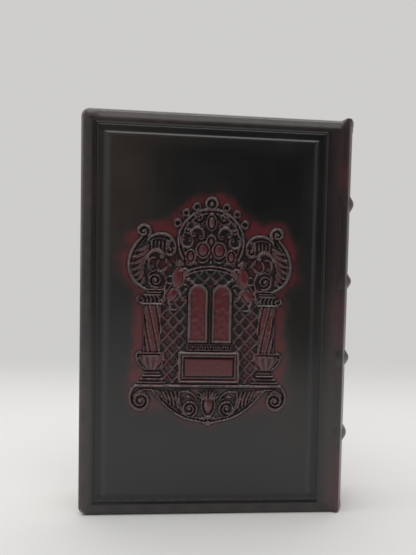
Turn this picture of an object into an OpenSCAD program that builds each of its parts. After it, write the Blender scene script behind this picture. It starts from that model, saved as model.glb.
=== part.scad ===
// A leather-bound book with raised bands on its rounded spine and an embossed front cover.
// It stands on its tail: +Z is up, the front cover faces -Y and the spine is on +X.
// Drawn with the fore edge at x = 0 and the middle of the thickness at y = 0, then centred.

/* [Boards] */
// Width of a covered board, from its fore edge to the joint
cover_w = 153; // [130:1:180]
// Height of a covered board
cover_h = 240; // [200:1:280]
// Thickness of the bare board
board_t = 2.85; // [2:0.05:4]
// Radius of a covered board's corners at the fore edge, seen from the front
corner_r = 5; // [2:0.1:8]
// Round on the edges of the bare board
board_edge_r = 0.8; // [0.2:0.05:0.9]
// Round of the leather over the outer edges of a board
outer_edge_r = 2.1; // [0.8:0.1:2.2]
// Round of the leather over the inner edges of a board
inner_edge_r = 0.8; // [0.4:0.1:1.2]

/* [Leather] */
// Thickness of the leather
leather_t = 1; // [0.6:0.05:1.4]
// Width of the leather turned in on the inside of a board
turn_in_w = 14; // [8:0.5:20]
// Thickness of the leather where it is turned in
turn_in_t = 0.5; // [0.3:0.05:0.8]

/* [Pages] */
// Thickness of the pages pressed together
pages_t = 33; // [20:0.5:50]
// How far the boards reach past the pages at head, tail and fore edge
square_w = 4; // [2:0.25:6]
// Depth of the hollow in the fore edge
fore_hollow = 3; // [1:0.25:6]
// Thickness of an endpaper, as flyleaf and as pastedown
endpaper_t = 0.25; // [0.15:0.05:0.5]
// Margin left round a pastedown
pastedown_margin = 4; // [3:0.5:8]
// Play between a flyleaf and its cover
cover_play = 0.15; // [0.1:0.05:0.5]

/* [Spine] */
// Width of the joint between a board and the spine
joint_w = 4.5; // [3.5:0.25:8]
// How far the joint lies below the face of the board
joint_sink = 0.3; // [0.1:0.05:0.6]
// Rise of the rounded spine over its two shoulders
spine_rise = 7.5; // [5:0.25:12]
// Thickness of the lining glued on the back of the pages
lining_t = 0.5; // [0.3:0.05:1]
// Glue between the lining and the back of the pages
glue_t = 0.05; // [0.02:0.01:0.2]
// Gap between a board and the shoulder that the pages form
shoulder_gap = 0.6; // [0.4:0.1:1.5]
// Number of raised bands
band_count = 4; // [2:1:6]
// Height of a raised band over the spine
band_rise = 2.2; // [1:0.1:3.5]
// Width of a raised band at its foot
band_w = 10; // [6:0.5:14]
// Width of the cord under the leather of a band
cord_w = 6; // [3:0.25:8]
// How far the ends of a cord stay short of the spine's shoulders
cord_end_gap = 1.2; // [0.6:0.1:2]
// Rise of the head cap over the boards
cap_rise = 1.8; // [0.5:0.1:3]
// How far a cap is turned in over the endband
cap_w = 3.8; // [2.5:0.1:5]
// Length along the joint and spine over which the head cap rises
cap_run = 8; // [5:0.5:12]
// Round of a cap's outer edge
cap_edge_r = 1.2; // [0.4:0.1:1.6]

/* [Panel and frame] */
// Margin from the edge of a board to the creased line of its frame
frame_margin = 8.2; // [5:0.1:20]
// Width of the channel between the creased line and the panel
channel_w = 4.6; // [2:0.1:10]
// Depth of the creased line
crease_depth = 0.5; // [0.2:0.05:0.8]
// Width of the creased line's outer wall
crease_w = 0.45; // [0.2:0.05:1]
// How far the channel climbs from the crease to the panel
channel_climb = 0.35; // [0.1:0.05:0.5]
// How far the panel stands over the face of the board
panel_rise = 0.6; // [0.2:0.05:1.2]
// Width of the panel's sloped edge
panel_bevel = 1.1; // [0.5:0.05:2]

/* [Emblem] */
// Height of the panel's emblem over the panel at its highest
emblem_rise = 1.4; // [0.8:0.1:2]
// Share of that height that the middle tier has
middle_tier = 0.72; // [0.5:0.01:0.9]
// Share of that height that the lattice and the hollows have
low_tier = 0.4; // [0.2:0.01:0.48]
// Height of the emblem's ledge over the tail of the board
ledge_z = 79.5; // [60:0.5:100]
// Distance between the axes of the two columns
column_span = 67.6; // [60:0.2:76]
// Height of a column's shaft
shaft_h = 28; // [20:0.5:36]
// Width of a column's shaft
shaft_w = 9.2; // [6:0.2:12]
// Distance between the lattice's bars along a level line
lattice_pitch = 5.3; // [4:0.1:8]
// Width of the lattice's bars
lattice_bar = 0.9; // [0.6:0.05:1.4]
// Radius of the crown's arch
crown_r = 19.2; // [15:0.2:22]

/* [Hidden] */
$fn = 64;
spine_fn = 180;

black_leather = "#24201f";
worn_leather = "#5a2226";
page_edge = "#d8cbb0";
paper = "#c9b48f";
grey_board = "#8a8378";
linen = "#b9ab90";
silk = "#7c2a2a";

// Faces of a cover, measured from the middle of the book's thickness
pages_face = pages_t / 2;
flyleaf_face = pages_face + endpaper_t;
cover_inside = flyleaf_face + cover_play;
board_inside = cover_inside + endpaper_t;
board_outside = board_inside + board_t;
cover_face = board_outside + leather_t;
panel_face = cover_face + panel_rise;
channel_face = cover_face - crease_depth;
slope_face = channel_face + channel_climb;

// The rounded spine: arcs about one axis that pass through the two shoulders
shoulder_x = cover_w + joint_w;
spine_r = (pow(cover_face, 2) + pow(spine_rise, 2)) / (2 * spine_rise);
spine_axis_x = shoulder_x + spine_rise - spine_r;
leather_in_r = spine_r - leather_t;
lining_in_r = leather_in_r - lining_t;
pages_r = lining_in_r - glue_t;
band_top = spine_rise + band_rise;
band_r = (pow(cover_face, 2) + pow(band_top, 2)) / (2 * band_top);
band_axis_x = shoulder_x + band_top - band_r;
pages_h = cover_h - 2 * square_w;
band_pitch = cover_h / (band_count + 1);
hinge_x = cover_w + joint_w / 2;

// The emblem is drawn about the middle of the board, with its ledge at height 0
emblem_x = cover_w / 2;
emblem_sink = 0.3;
column_x = column_span / 2;
line_w = 1.5;
fine_line_w = 1.1;

// Heights on a column: the top of its stepped foot, its bowl, its shaft and its capital
foot_top = 8.4;
bowl_top = 18.2;
bowl_lip = 1.4;
shaft_foot = bowl_top + bowl_lip;
shaft_top = shaft_foot + shaft_h;
capital_top = shaft_top + 6;

// The part's origin is the middle of its box on the surface it stands on
over = 1;
origin_x = (shoulder_x + band_top) / 2;
origin_y = -emblem_rise / 2;

// Helpers for profiles and paths

function arc(c, r, a0, a1, n = 8) = [for (i = [0 : n])
    let (a = a0 + (a1 - a0) * i / n) c + r * [cos(a), sin(a)]];

function spiral(c, r0, r1, a0, a1, n = 20) = [for (i = [0 : n])
    let (t = i / n, a = a0 + (a1 - a0) * t) c + (r0 + (r1 - r0) * t) * [cos(a), sin(a)]];

function bezier(a, b, c, d, n = 10) = [for (i = [0 : n])
    let (t = i / n, s = 1 - t) s * s * s * a + 3 * s * s * t * b + 3 * s * t * t * c + t * t * t * d];

function heading(p, i) =
    let (d = p[min(i + 1, len(p) - 1)] - p[max(i - 1, 0)]) d / norm(d);

function side(p, w0, w1, s) = [for (i = [0 : len(p) - 1])
    let (h = heading(p, i), w = w0 + (w1 - w0) * i / (len(p) - 1)) p[i] + s * w / 2 * [-h[1], h[0]]];

function backwards(p) = [for (i = [len(p) - 1 : -1 : 0]) p[i]];

function smooth(t) = let (c = min(max(t, 0), 1)) c * c * (3 - 2 * c);

// A line with rounded ends along path p, w0 wide at its start and w1 at its end
module stroke(p, w0, w1) {
    polygon(concat(side(p, w0, w1, 1), backwards(side(p, w0, w1, -1))));
    translate(p[0]) circle(d = w0, $fn = 6);
    translate(p[len(p) - 1]) circle(d = w1, $fn = 6);
}

// A rectangle from corner a to corner b, with radius r on its two corners on the a side
module half_rounded(a, b, r_low, r_high) {
    difference() {
        translate(a) square(b - a);
        translate([a[0] - over, a[1] - over]) corner_nick(r_low);
        translate([a[0] - over, b[1] + over]) mirror([0, 1]) corner_nick(r_high);
    }
}

// What comes off a corner at the origin's upper right to give it radius r
module corner_nick(r) {
    difference() {
        square(r + over);
        translate([r + over, r + over]) circle(r);
    }
}

// Puts a plan drawn at y > 0 on the front side, and leaves the rear one as it is
module on_side(front) {
    mirror([0, front ? 1 : 0, 0]) children();
}

module centred() {
    translate([-origin_x, -origin_y, 0]) children();
}

// A slab with rounded edges at head, tail and fore edge, from face y0 out to face y1
module covered_slab(x0, z0, y0, y1, r_in, r_out, r_corner) {
    intersection() {
        linear_extrude(cover_h + over) half_rounded([x0, y0], [cover_w, y1], r_in, r_out);
        rotate([90, 0, 90]) linear_extrude(cover_w + over)
            both_sides_rounded([y0, z0], [y1, cover_h - z0], r_in, r_out);
        rotate([90, 0, 0]) translate([0, 0, -y1 - over]) linear_extrude(y1 + 2 * over)
            half_rounded([x0, z0], [cover_w, cover_h - z0], r_corner, r_corner);
    }
}

// The same rectangle with its rounded corners on the b side
module far_rounded(a, b, r_low, r_high) {
    translate([a[0] + b[0], 0]) mirror([1, 0]) half_rounded(a, b, r_low, r_high);
}

module both_sides_rounded(a, b, r_in, r_out) {
    intersection() {
        half_rounded(a, b, r_in, r_in);
        far_rounded(a, b, r_out, r_out);
    }
}

// A raised rectangle with mitred sloping sides, set in by margin at its foot
module mitred_raise(margin, slope, foot_y, top_y) {
    x_low = margin;
    x_high = cover_w - margin;
    z_low = margin;
    z_high = cover_h - margin;
    intersection() {
        translate([0, 0, z_low]) linear_extrude(z_high - z_low)
            polygon([[x_low, foot_y], [x_high, foot_y], [x_high - slope, top_y], [x_low + slope, top_y]]);
        translate([x_low, 0, 0]) rotate([90, 0, 90]) linear_extrude(x_high - x_low)
            polygon([[foot_y, z_low], [foot_y, z_high], [top_y, z_high - slope], [top_y, z_low + slope]]);
    }
}

// Boards and what covers them

module board_solid() {
    difference() {
        covered_slab(leather_t, leather_t, board_inside, board_outside, board_edge_r, board_edge_r,
            corner_r - leather_t);
        difference() {
            translate([-over, board_inside - over, -over])
                cube([cover_w + 2 * over, turn_in_t + over, cover_h + 2 * over]);
            translate([turn_in_w, board_inside - 2 * over, turn_in_w])
                cube([cover_w, turn_in_t + 4 * over, cover_h - 2 * turn_in_w]);
        }
    }
}

module board(front) {
    color(grey_board) on_side(front) board_solid();
}

module panel_card_solid() {
    mitred_raise(frame_margin + channel_w, panel_bevel, board_outside, board_outside + panel_rise);
}

module panel_card(front) {
    color(linen) on_side(front) panel_card_solid();
}

module pastedown(front) {
    color(paper) on_side(front)
        translate([pastedown_margin, cover_inside, pastedown_margin])
            cube([cover_w - pastedown_margin, endpaper_t, cover_h - 2 * pastedown_margin]);
}

module cover_form() {
    difference() {
        covered_slab(0, 0, board_inside, cover_face, inner_edge_r, outer_edge_r, corner_r);
        sunk_frame();
    }
    mitred_raise(frame_margin + crease_w, channel_w - crease_w, channel_face, slope_face);
    mitred_raise(frame_margin + channel_w, panel_bevel, board_outside, panel_face);
}

// The sunk frame's wall leans out by the crease's width towards the face
module sunk_frame() {
    depth_over = over * crease_w / crease_depth;
    foot = frame_margin + crease_w;
    x_foot = cover_w - foot;
    z_foot = cover_h - foot;
    intersection() {
        linear_extrude(cover_h)
            polygon([[foot, channel_face], [x_foot, channel_face],
                [cover_w - frame_margin + depth_over, cover_face + over],
                [frame_margin - depth_over, cover_face + over]]);
        rotate([90, 0, 90]) linear_extrude(cover_w)
            polygon([[channel_face, foot], [channel_face, z_foot],
                [cover_face + over, cover_h - frame_margin + depth_over],
                [cover_face + over, frame_margin - depth_over]]);
    }
}

module cover_leather(front) {
    color(black_leather) on_side(front) difference() {
        cover_form();
        board_solid();
        panel_card_solid();
    }
    if (front) emblem();
}

// The spine

module spine_plan(r) {
    intersection() {
        translate([spine_axis_x, 0]) circle(r, $fn = spine_fn);
        translate([shoulder_x, -cover_face]) square([spine_rise + over, 2 * cover_face]);
    }
}

module beyond_shoulder() {
    translate([shoulder_x, -cover_face, -over]) cube([2 * band_top, 2 * cover_face, cover_h + 4 * over]);
}

module band_height(i) {
    translate([band_axis_x, 0, i * band_pitch]) children();
}

module band_swell() {
    steps = 8;
    rotate_extrude($fn = spine_fn) polygon(concat(
        [[band_r - 2 * band_top, -band_w / 2]],
        [for (k = [-steps : steps])
            [band_r - band_rise * (1 - cos(180 * k / steps)) / 2, band_w / 2 * k / steps]],
        [[band_r - 2 * band_top, band_w / 2]]));
}

module band_cord_full() {
    cord_r = band_r - leather_t;
    round_n = 6;
    rotate_extrude($fn = spine_fn) polygon(concat(
        [[cord_r - 2 * band_top, -cord_w / 2]],
        [for (k = [-round_n : round_n])
            [cord_r - (1 - cos(60 * k / round_n)) * band_rise, cord_w / 2 * sin(90 * k / round_n)]],
        [[cord_r - 2 * band_top, cord_w / 2]]));
}

module band_cord(i) {
    difference() {
        intersection() {
            band_height(i) band_cord_full();
            translate([cord_end_gap, 0, 0]) beyond_shoulder();
        }
        translate([spine_axis_x, 0, -over])
            cylinder(r = leather_in_r, h = cover_h + 2 * over, $fn = spine_fn);
    }
}

module raised_band(i) {
    color(linen) band_cord(i);
}

// The head cap climbs from the joint towards the back of the spine
module cap_silhouette() {
    steps = 10;
    back_x = shoulder_x + band_top + over;
    rotate([90, 0, 0]) translate([0, 0, -cover_face - over]) linear_extrude(2 * (cover_face + over))
        polygon(concat([[cover_w, 0], [cover_w, cover_h]],
            [for (k = [1 : steps]) [cover_w + cap_run * k / steps, cover_h + cap_rise * smooth(k / steps)]],
            [[back_x, cover_h + cap_rise], [back_x, 0]]));
}

module spine_shell() {
    translate([spine_axis_x, 0, 0]) difference() {
        rotate_extrude($fn = spine_fn)
            far_rounded([leather_in_r - cap_w, 0], [spine_r, cover_h + cap_rise], cap_edge_r, cap_edge_r);
        translate([0, 0, leather_t]) cylinder(r = leather_in_r, h = cover_h - 2 * leather_t, $fn = spine_fn);
    }
}

module spine_leather() {
    color(black_leather) intersection() {
        difference() {
            union() {
                spine_shell();
                for (i = [1 : band_count]) difference() {
                    band_height(i) band_swell();
                    translate([spine_axis_x, 0, 0]) cylinder(r = leather_in_r, h = cover_h, $fn = spine_fn);
                }
            }
            for (i = [1 : band_count]) band_cord(i);
        }
        beyond_shoulder();
        cap_silhouette();
    }
}

module joint_leather(front) {
    color(black_leather) on_side(front)
        translate([cover_w, cover_face - joint_sink - leather_t, 0]) cube([joint_w, leather_t, cover_h]);
}

module spine_lining() {
    color(linen) translate([0, 0, square_w]) linear_extrude(pages_h) difference() {
        spine_plan(leather_in_r);
        translate([spine_axis_x, 0]) circle(lining_in_r, $fn = spine_fn);
    }
}

// The endband lies on the end of the pages, between the spine's leather and its cap
module endband(z) {
    core_h = square_w - leather_t;
    core_w = cap_w - leather_t;
    color(silk) intersection() {
        translate([spine_axis_x, 0, z]) rotate_extrude($fn = spine_fn) translate([leather_in_r - core_w, 0])
            square([core_w, core_h]);
        beyond_shoulder();
    }
}

// The pages

module page_plan() {
    shoulder_y = cover_face - leather_t - lining_t - glue_t;
    shoulder_tip_x = spine_axis_x + sqrt(pow(pages_r, 2) - pow(shoulder_y, 2));
    flank_x = cover_w + shoulder_gap;
    hollow_r = (pow(pages_face, 2) + pow(fore_hollow, 2)) / (2 * fore_hollow);
    difference() {
        union() {
            translate([square_w, -pages_face]) square([flank_x - square_w, pages_t]);
            intersection() {
                translate([spine_axis_x, 0]) circle(pages_r, $fn = spine_fn);
                polygon([[flank_x - over, -pages_face], [flank_x, -pages_face],
                    [shoulder_tip_x, -shoulder_y], [shoulder_x + spine_rise, -shoulder_y],
                    [shoulder_x + spine_rise, shoulder_y], [shoulder_tip_x, shoulder_y],
                    [flank_x, pages_face], [flank_x - over, pages_face]]);
            }
        }
        translate([square_w + fore_hollow - hollow_r, 0]) circle(hollow_r, $fn = spine_fn);
    }
}

module text_block() {
    color(page_edge) translate([0, 0, square_w]) linear_extrude(pages_h) page_plan();
}

module flyleaf(front) {
    color(paper) on_side(front)
        translate([square_w, pages_face, square_w]) cube([cover_w - square_w, endpaper_t, pages_h]);
}

// The emblem, drawn in the plane of the panel

module mirrored() {
    children();
    mirror([1, 0]) children();
}

module ring(c, r, w) {
    translate(c) difference() {
        circle(r, $fn = 14);
        circle(r - w, $fn = 10);
    }
}

module oval_ring(c, rx, ry, w) {
    translate(c) difference() {
        scale([1, ry / rx]) circle(rx, $fn = 14);
        scale([1, (ry - w) / (rx - w)]) circle(rx - w, $fn = 12);
    }
}

// A curl that winds into its centre from angle a0, with a bead in the middle
module curl(c, r, a0, turn, w) {
    bead_r = r * 0.3;
    stroke(spiral(c, r, bead_r, a0, a0 + turn, ceil(3 * r)), w, w * 0.8);
    translate(c) circle(bead_r, $fn = 8);
}

// A column: a stepped foot, a bowl with a lip, a shaft, and a capital with a knob on each side
module column_2d() {
    steps = 4;
    step_h = foot_top / steps;
    step_gap = 0.35;
    foot_w = 15.8;
    step_in = 1.25;
    capital_w = 11.4;
    knob_r = 2.3;
    translate([column_x, 0]) {
        for (k = [0 : steps - 1]) translate([step_in * k - foot_w / 2, step_h * k])
            square([foot_w - 2 * step_in * k, step_h - step_gap]);
        bowl_2d();
        translate([-shaft_w / 2, bowl_top]) square([shaft_w, shaft_top - bowl_top]);
        translate([-capital_w / 2, shaft_top]) square([capital_w, capital_top - shaft_top]);
        translate([-4, capital_top - step_gap]) square([8, 4.4]);
        for (s = [-1, 1]) translate([6.6 * s, (shaft_top + capital_top) / 2]) circle(knob_r, $fn = 14);
    }
}

module bowl_2d() {
    neck = 3.5;
    belly = 5.8;
    brim = 7.4;
    polygon([[-neck, foot_top - 0.4], [-belly, foot_top + 2.8], [-brim, bowl_top - 2.4], [-brim, bowl_top],
        [brim, bowl_top], [brim, bowl_top - 2.4], [belly, foot_top + 2.8], [neck, foot_top - 0.4]]);
    bowl_lip_2d(brim);
}

module bowl_lip_2d(brim) {
    translate([-brim, bowl_top]) square([2 * brim, bowl_lip]);
}

// The lobes of a column's bowl, its lip, the twisted ribs of its shaft and the leaves of its capital
module column_lines_2d() {
    translate([column_x, 0]) {
        bowl_lip_2d(7.4);
        for (k = [-1.5 : 1.5]) {
            stroke([[2.6 * k, foot_top + 2.6], [3.1 * k, bowl_top - 1.8]], fine_line_w, 1.7);
            stroke([[2.4 * k, shaft_top + 1], [2.4 * k + 0.6, capital_top - 1]], fine_line_w, fine_line_w);
        }
        stroke([[1, shaft_top - 1], [-1.4, shaft_top - 10], [-3.4, shaft_top - 19]], line_w, fine_line_w);
        stroke([[3.5, shaft_top - 3.6], [2.2, shaft_top - 12], [-0.2, shaft_top - 20],
            [-1.2, shaft_foot + 1]], fine_line_w, line_w);
        stroke([[3.7, shaft_foot + 11], [3, shaft_foot + 5], [2.4, shaft_foot + 1]], fine_line_w, line_w);
    }
}

// One diagonal set of bars over a field of width w and height h
module bars(w, h, lean) {
    count = ceil((w + h) / lattice_pitch);
    for (k = [-count : count]) translate([w / 2 + k * lattice_pitch, h / 2])
        rotate(lean) square([lattice_bar, w + h], center = true);
}

module lattice_2d(a, b) {
    intersection() {
        translate(a) for (lean = [-42, 42]) bars(b[0] - a[0], b[1] - a[1], lean);
        translate(a) square(b - a);
    }
}

// Two tablets with arched tops side by side, each a rim round a sunk field
module tablet_rims_2d() {
    tablet_w = 12.2;
    tablet_h = 35.2;
    rim = 1.2;
    foot = 25.2;
    half_gap = 0.9;
    sill_w = 28;
    sill_h = 1.8;
    mirrored() translate([half_gap, foot]) difference() {
        arched(tablet_w, tablet_h);
        translate([rim, rim]) arched(tablet_w - 2 * rim, tablet_h - 2 * rim);
    }
    translate([-sill_w / 2, foot - sill_h - 0.6]) square([sill_w, sill_h]);
}

module arched(w, h) {
    square([w, h - w / 2]);
    translate([w / 2, h - w / 2]) circle(d = w, $fn = 20);
}

// The outline of the blank plate between the lattice and the ledge, set in by inset
module plate_outline_2d(inset) {
    plate_w = 36.6;
    plate_h = 18.6;
    plate_foot = 1.4;
    translate([inset - plate_w / 2, plate_foot + inset]) square([plate_w - 2 * inset, plate_h - 2 * inset]);
}

// One rim of the plate, from inset outwards to its own width inwards
module plate_rim_2d(inset, width) {
    difference() {
        plate_outline_2d(inset);
        plate_outline_2d(inset + width);
    }
}

// The scrolled console over a column, with lobes along its back and an arcade under its top
module console_2d() {
    lobes = [[[36.4, 82], [44.6, 78.2]], [[37.2, 78], [46.4, 73.2]], [[38.4, 73.8], [46.6, 68]],
        [[39.2, 69.4], [45.4, 63]], [[39.2, 65.2], [42.8, 59.8]]];
    stroke(bezier([40.6, 86.6], [49.6, 77.5], [51.6, 62.5], [37, 56.2], 10), line_w, line_w);
    curl([39.5, 90.3], 3.9, 215, -400, 1.8);
    stroke(bezier([36.2, 88.4], [35.6, 86.6], [36.6, 85.2], [37.4, 83.6], 4), line_w, fine_line_w);
    stroke(bezier([20.8, 81.4], [22, 90.8], [32.5, 90.6], [37, 85.6], 8), line_w, line_w);
    for (lobe = lobes) let (run = lobe[1] - lobe[0], lift = [-run[1], run[0]] / 8)
        stroke([lobe[0], lobe[0] + run * 0.3 + lift, lobe[0] + run * 0.7 + lift, lobe[1]],
            fine_line_w, line_w);
    for (k = [0 : 3]) translate([26 + 2.5 * k, 80.6]) square([1.2, 4.2]);
    stroke(bezier([28, 76], [28.4, 81], [36.2, 80.8], [37.4, 74.6], 6), 1.8, line_w);
    stroke(bezier([32.6, 75.2], [36.6, 75.6], [37.6, 71.4], [35.4, 68.4], 5), fine_line_w, fine_line_w);
    curl([32.3, 61.9], 4, 250, 480, 1.4);
    ring([24.3, 79.4], 2.4, 1.2);
}

// A lion that rears up beside the crown, in plain masses
module lion_2d() {
    stroke(bezier([19.8, 58.6], [19, 62], [20, 65.6], [18.8, 68.6], 5), 6, 4.2);
    stroke(bezier([20.6, 56.6], [22.4, 54.6], [23.4, 51], [23.8, 46.2], 6), 5.4, 1.6);
    translate([18.8, 72.2]) circle(2.7, $fn = 16);
    stroke(bezier([20, 57], [16.6, 56], [18.4, 52.6], [16.2, 50.6], 5), 2, 1.5);
    stroke(bezier([17.6, 67.8], [15.4, 70.2], [13.4, 69], [13.6, 66.2], 5), 1.9, 1.3);
    ring([23.9, 62.2], 2.7, 1.1);
}

// The closed crown: a double arch set with beads over a jewelled circlet
module crown_2d() {
    arch_y = 85;
    beads = [[9, 106], [15.5, 102.6], [21.3, 96]];
    stroke(arc([0, arch_y], crown_r, -28, 208, 24), line_w, line_w);
    stroke(arc([0, arch_y], crown_r - 2.5, -22, 202, 18), fine_line_w, fine_line_w);
    ring([0, 107.4], 4.1, 1.5);
    translate([0, 107.4]) circle(1.5, $fn = 10);
    oval_ring([0, 96.4], 3.4, 5.2, 1.1);
    mirrored() {
        for (bead = beads) let (out = (bead - [0, arch_y]) / norm(bead - [0, arch_y])) {
            ring(bead, 2.5, 1.2);
            stroke([bead - 2 * out, bead - 3.8 * out], 1.3, 1.5);
        }
        ring([7.4, 99.2], 2.2, 1.1);
        stroke(bezier([11, 96.4], [9, 93.9], [6.4, 93.8], [4.4, 95.2], 5), fine_line_w, fine_line_w);
        stroke(bezier([4.6, 87.6], [3, 94.8], [12.4, 95.6], [11.9, 88.8], 7), line_w, line_w);
        stroke(bezier([17.8, 87.6], [19, 80.4], [10.6, 79.6], [11, 85.4], 7), line_w, line_w);
        for (pearl = [[6.2, 87.9], [10.4, 89.2], [16.3, 87], [12.6, 86.2]])
            translate(pearl) circle(1.2, $fn = 10);
        stroke(bezier([2.9, 84.6], [2.6, 88.6], [0.9, 88.8], [0, 88.8], 4), fine_line_w, fine_line_w);
        oval_ring([4.8, 80.2], 4.4, 5.1, 1.2);
        oval_ring([12, 76.4], 3.4, 4.4, 1.1);
        stroke(bezier([1.6, 75.6], [2.8, 71.8], [7.2, 71.8], [8.2, 75.4], 5), fine_line_w, fine_line_w);
    }
    circlet_y = 38;
    for (line = [[32.6, 27, line_w], [30.6, 29, fine_line_w]])
        stroke(arc([0, circlet_y], line[0], 90 - line[1], 90 + line[1], 7), line[2], line[2]);
}

// The apron under the ledge, with two spirals and a leaf at its middle
module apron_2d() {
    ledge_w = 88;
    translate([-ledge_w / 2, -1.6]) square([ledge_w, 2]);
    mirrored() {
        stroke(bezier([34, -2.6], [29, -8.6], [24, -15.2], [15, -19.4], 8), line_w, line_w);
        stroke(bezier([15, -19.4], [10.4, -21.4], [5, -21.4], [0.6, -23.4], 6), line_w, line_w);
        curl([11.3, -14.2], 4.8, 240, -520, 1.4);
        stroke(bezier([19.6, -2.8], [20.2, -9], [17.4, -15.4], [11.6, -19], 7), fine_line_w, fine_line_w);
        stroke(bezier([16.6, -4.2], [13.4, -3], [8.4, -4.2], [6.6, -9], 6), fine_line_w, line_w);
        for (k = [0 : 4]) stroke([[19 + 2.4 * k, -14 + 1.6 * k], [20.6 + 2.8 * k, -8 + 0.6 * k],
            [21.6 + 3 * k, -2]], fine_line_w, line_w);
        stroke(bezier([43.4, -1], [47.2, -4], [47, -9.4], [45, -12.6], 6), 1.8, 1.9);
        curl([40.2, -9.4], 5.4, -30, -520, 1.8);
        stroke(bezier([34.4, -2.8], [38.4, -2.4], [42.8, -3.6], [44.6, -7.2], 5), fine_line_w, fine_line_w);
        for (k = [0 : 3]) let (a = 86 - 22 * k)
            stroke([[0.3, -8.4] + 1.6 * [cos(a), sin(a)], [0.3, -8.4] + 6.2 * [cos(a), sin(a)]], 0.8, 1.4);
    }
    translate([0, -23.2]) circle(2, $fn = 14);
    polygon([[0, -18.4], [-2.3, -15], [-2.7, -11.8], [-1.4, -8.6], [1.4, -8.6], [2.7, -11.8], [2.3, -15]]);
}

// The emblem's low tier: the lattice, and the masses that its finer lines stand on
module emblem_low_2d() {
    mirrored() {
        lattice_2d([14.2, 1], [29.4, 57]);
        translate([32.3, 61.9]) circle(4, $fn = 24);
        lion_2d();
    }
    lattice_2d([-14, 60], [14, 69]);
    plate_outline_2d(0);
}

module emblem_middle_2d() {
    mirrored() {
        column_2d();
        console_2d();
    }
    apron_2d();
    crown_2d();
}

module emblem_top_2d() {
    tablet_rims_2d();
    plate_rim_2d(0, 1.2);
    plate_rim_2d(1.9, 1.1);
    mirrored() column_lines_2d();
}

module emblem_tier(share) {
    translate([emblem_x, -panel_face + emblem_sink, ledge_z]) rotate([90, 0, 0])
        linear_extrude(emblem_sink + emblem_rise * share) offset(delta = 0.001) children();
}

module emblem() {
    emblem_tier(low_tier) emblem_low_2d();
    emblem_tier(middle_tier) emblem_middle_2d();
    emblem_tier(1) emblem_top_2d();
}

centred() text_block();
centred() flyleaf(true);  // front_flyleaf
centred() flyleaf(false);  // rear_flyleaf
centred() spine_lining();
centred() endband(cover_h - square_w);  // head_endband
centred() endband(leather_t);  // tail_endband
centred() raised_band(1);  // raised_band_1
centred() raised_band(2);  // raised_band_2
centred() raised_band(3);  // raised_band_3
centred() raised_band(4);  // raised_band_4
centred() spine_leather();
centred() joint_leather(true);  // front_joint_leather
centred() joint_leather(false);  // rear_joint_leather
centred() board(true);  // front_board
centred() panel_card(true);  // front_panel_card
centred() cover_leather(true);  // front_leather
centred() pastedown(true);  // front_pastedown
centred() board(false);  // rear_board
centred() panel_card(false);  // rear_panel_card
centred() cover_leather(false);  // rear_leather
centred() pastedown(false);  // rear_pastedown
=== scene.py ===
import math

import bmesh
import bpy
import numpy as np
from bpy.props import FloatProperty, FloatVectorProperty, PointerProperty
from bpy.types import Operator, Panel, PropertyGroup
from mathutils import Euler, Matrix, Vector


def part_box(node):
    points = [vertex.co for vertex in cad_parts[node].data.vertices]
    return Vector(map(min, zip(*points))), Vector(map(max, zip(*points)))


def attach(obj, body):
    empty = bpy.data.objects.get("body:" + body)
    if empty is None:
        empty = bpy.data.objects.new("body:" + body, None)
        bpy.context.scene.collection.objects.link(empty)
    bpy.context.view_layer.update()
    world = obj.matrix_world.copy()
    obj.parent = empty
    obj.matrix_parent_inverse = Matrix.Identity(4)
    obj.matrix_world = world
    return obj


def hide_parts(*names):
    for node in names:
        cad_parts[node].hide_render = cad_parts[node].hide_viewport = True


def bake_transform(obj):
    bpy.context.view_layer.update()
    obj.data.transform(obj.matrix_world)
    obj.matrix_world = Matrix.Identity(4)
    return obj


bl_info = {
    "name": "Antiqued Leather Book",
    "version": (1, 0, 0),
    "blender": (4, 5, 0),
    "location": "3D View > Sidebar > Book",
    "description": "Dresses a leather-bound book: embossed cover, raised bands, pages and joints",
    "category": "Object",
}

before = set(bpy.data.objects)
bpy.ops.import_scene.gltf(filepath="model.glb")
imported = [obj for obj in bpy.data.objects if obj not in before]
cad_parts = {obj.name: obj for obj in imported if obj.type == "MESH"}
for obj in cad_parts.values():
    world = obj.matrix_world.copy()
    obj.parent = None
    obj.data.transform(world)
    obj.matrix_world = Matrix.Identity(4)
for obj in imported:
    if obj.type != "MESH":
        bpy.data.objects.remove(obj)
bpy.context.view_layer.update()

MM = 0.001

# Where the pieces of the frame lie, in metres
REAR_LOW, REAR_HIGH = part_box("rear_leather")
PAGES_LOW, PAGES_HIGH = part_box("text_block")
SPINE_LOW, SPINE_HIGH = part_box("spine_leather")
HEAD_BAND_LOW, HEAD_BAND_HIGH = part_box("head_endband")
TAIL_BAND_LOW, TAIL_BAND_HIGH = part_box("tail_endband")
MID_Y = (SPINE_LOW[1] + SPINE_HIGH[1]) / 2
HALF_T = (SPINE_HIGH[1] - SPINE_LOW[1]) / 2
COVER_LEFT = REAR_LOW[0]
COVER_RIGHT = REAR_HIGH[0]
COVER_TOP = REAR_HIGH[2]
COVER_INSIDE = MID_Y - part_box("front_board")[1][1]
SHOULDER_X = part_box("front_joint_leather")[1][0]
BAND_COUNT = 4
BAND_PITCH = COVER_TOP / (BAND_COUNT + 1)

# The head cap is worn down to this share of the frame's
WORN_CAP = 0.78


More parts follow.
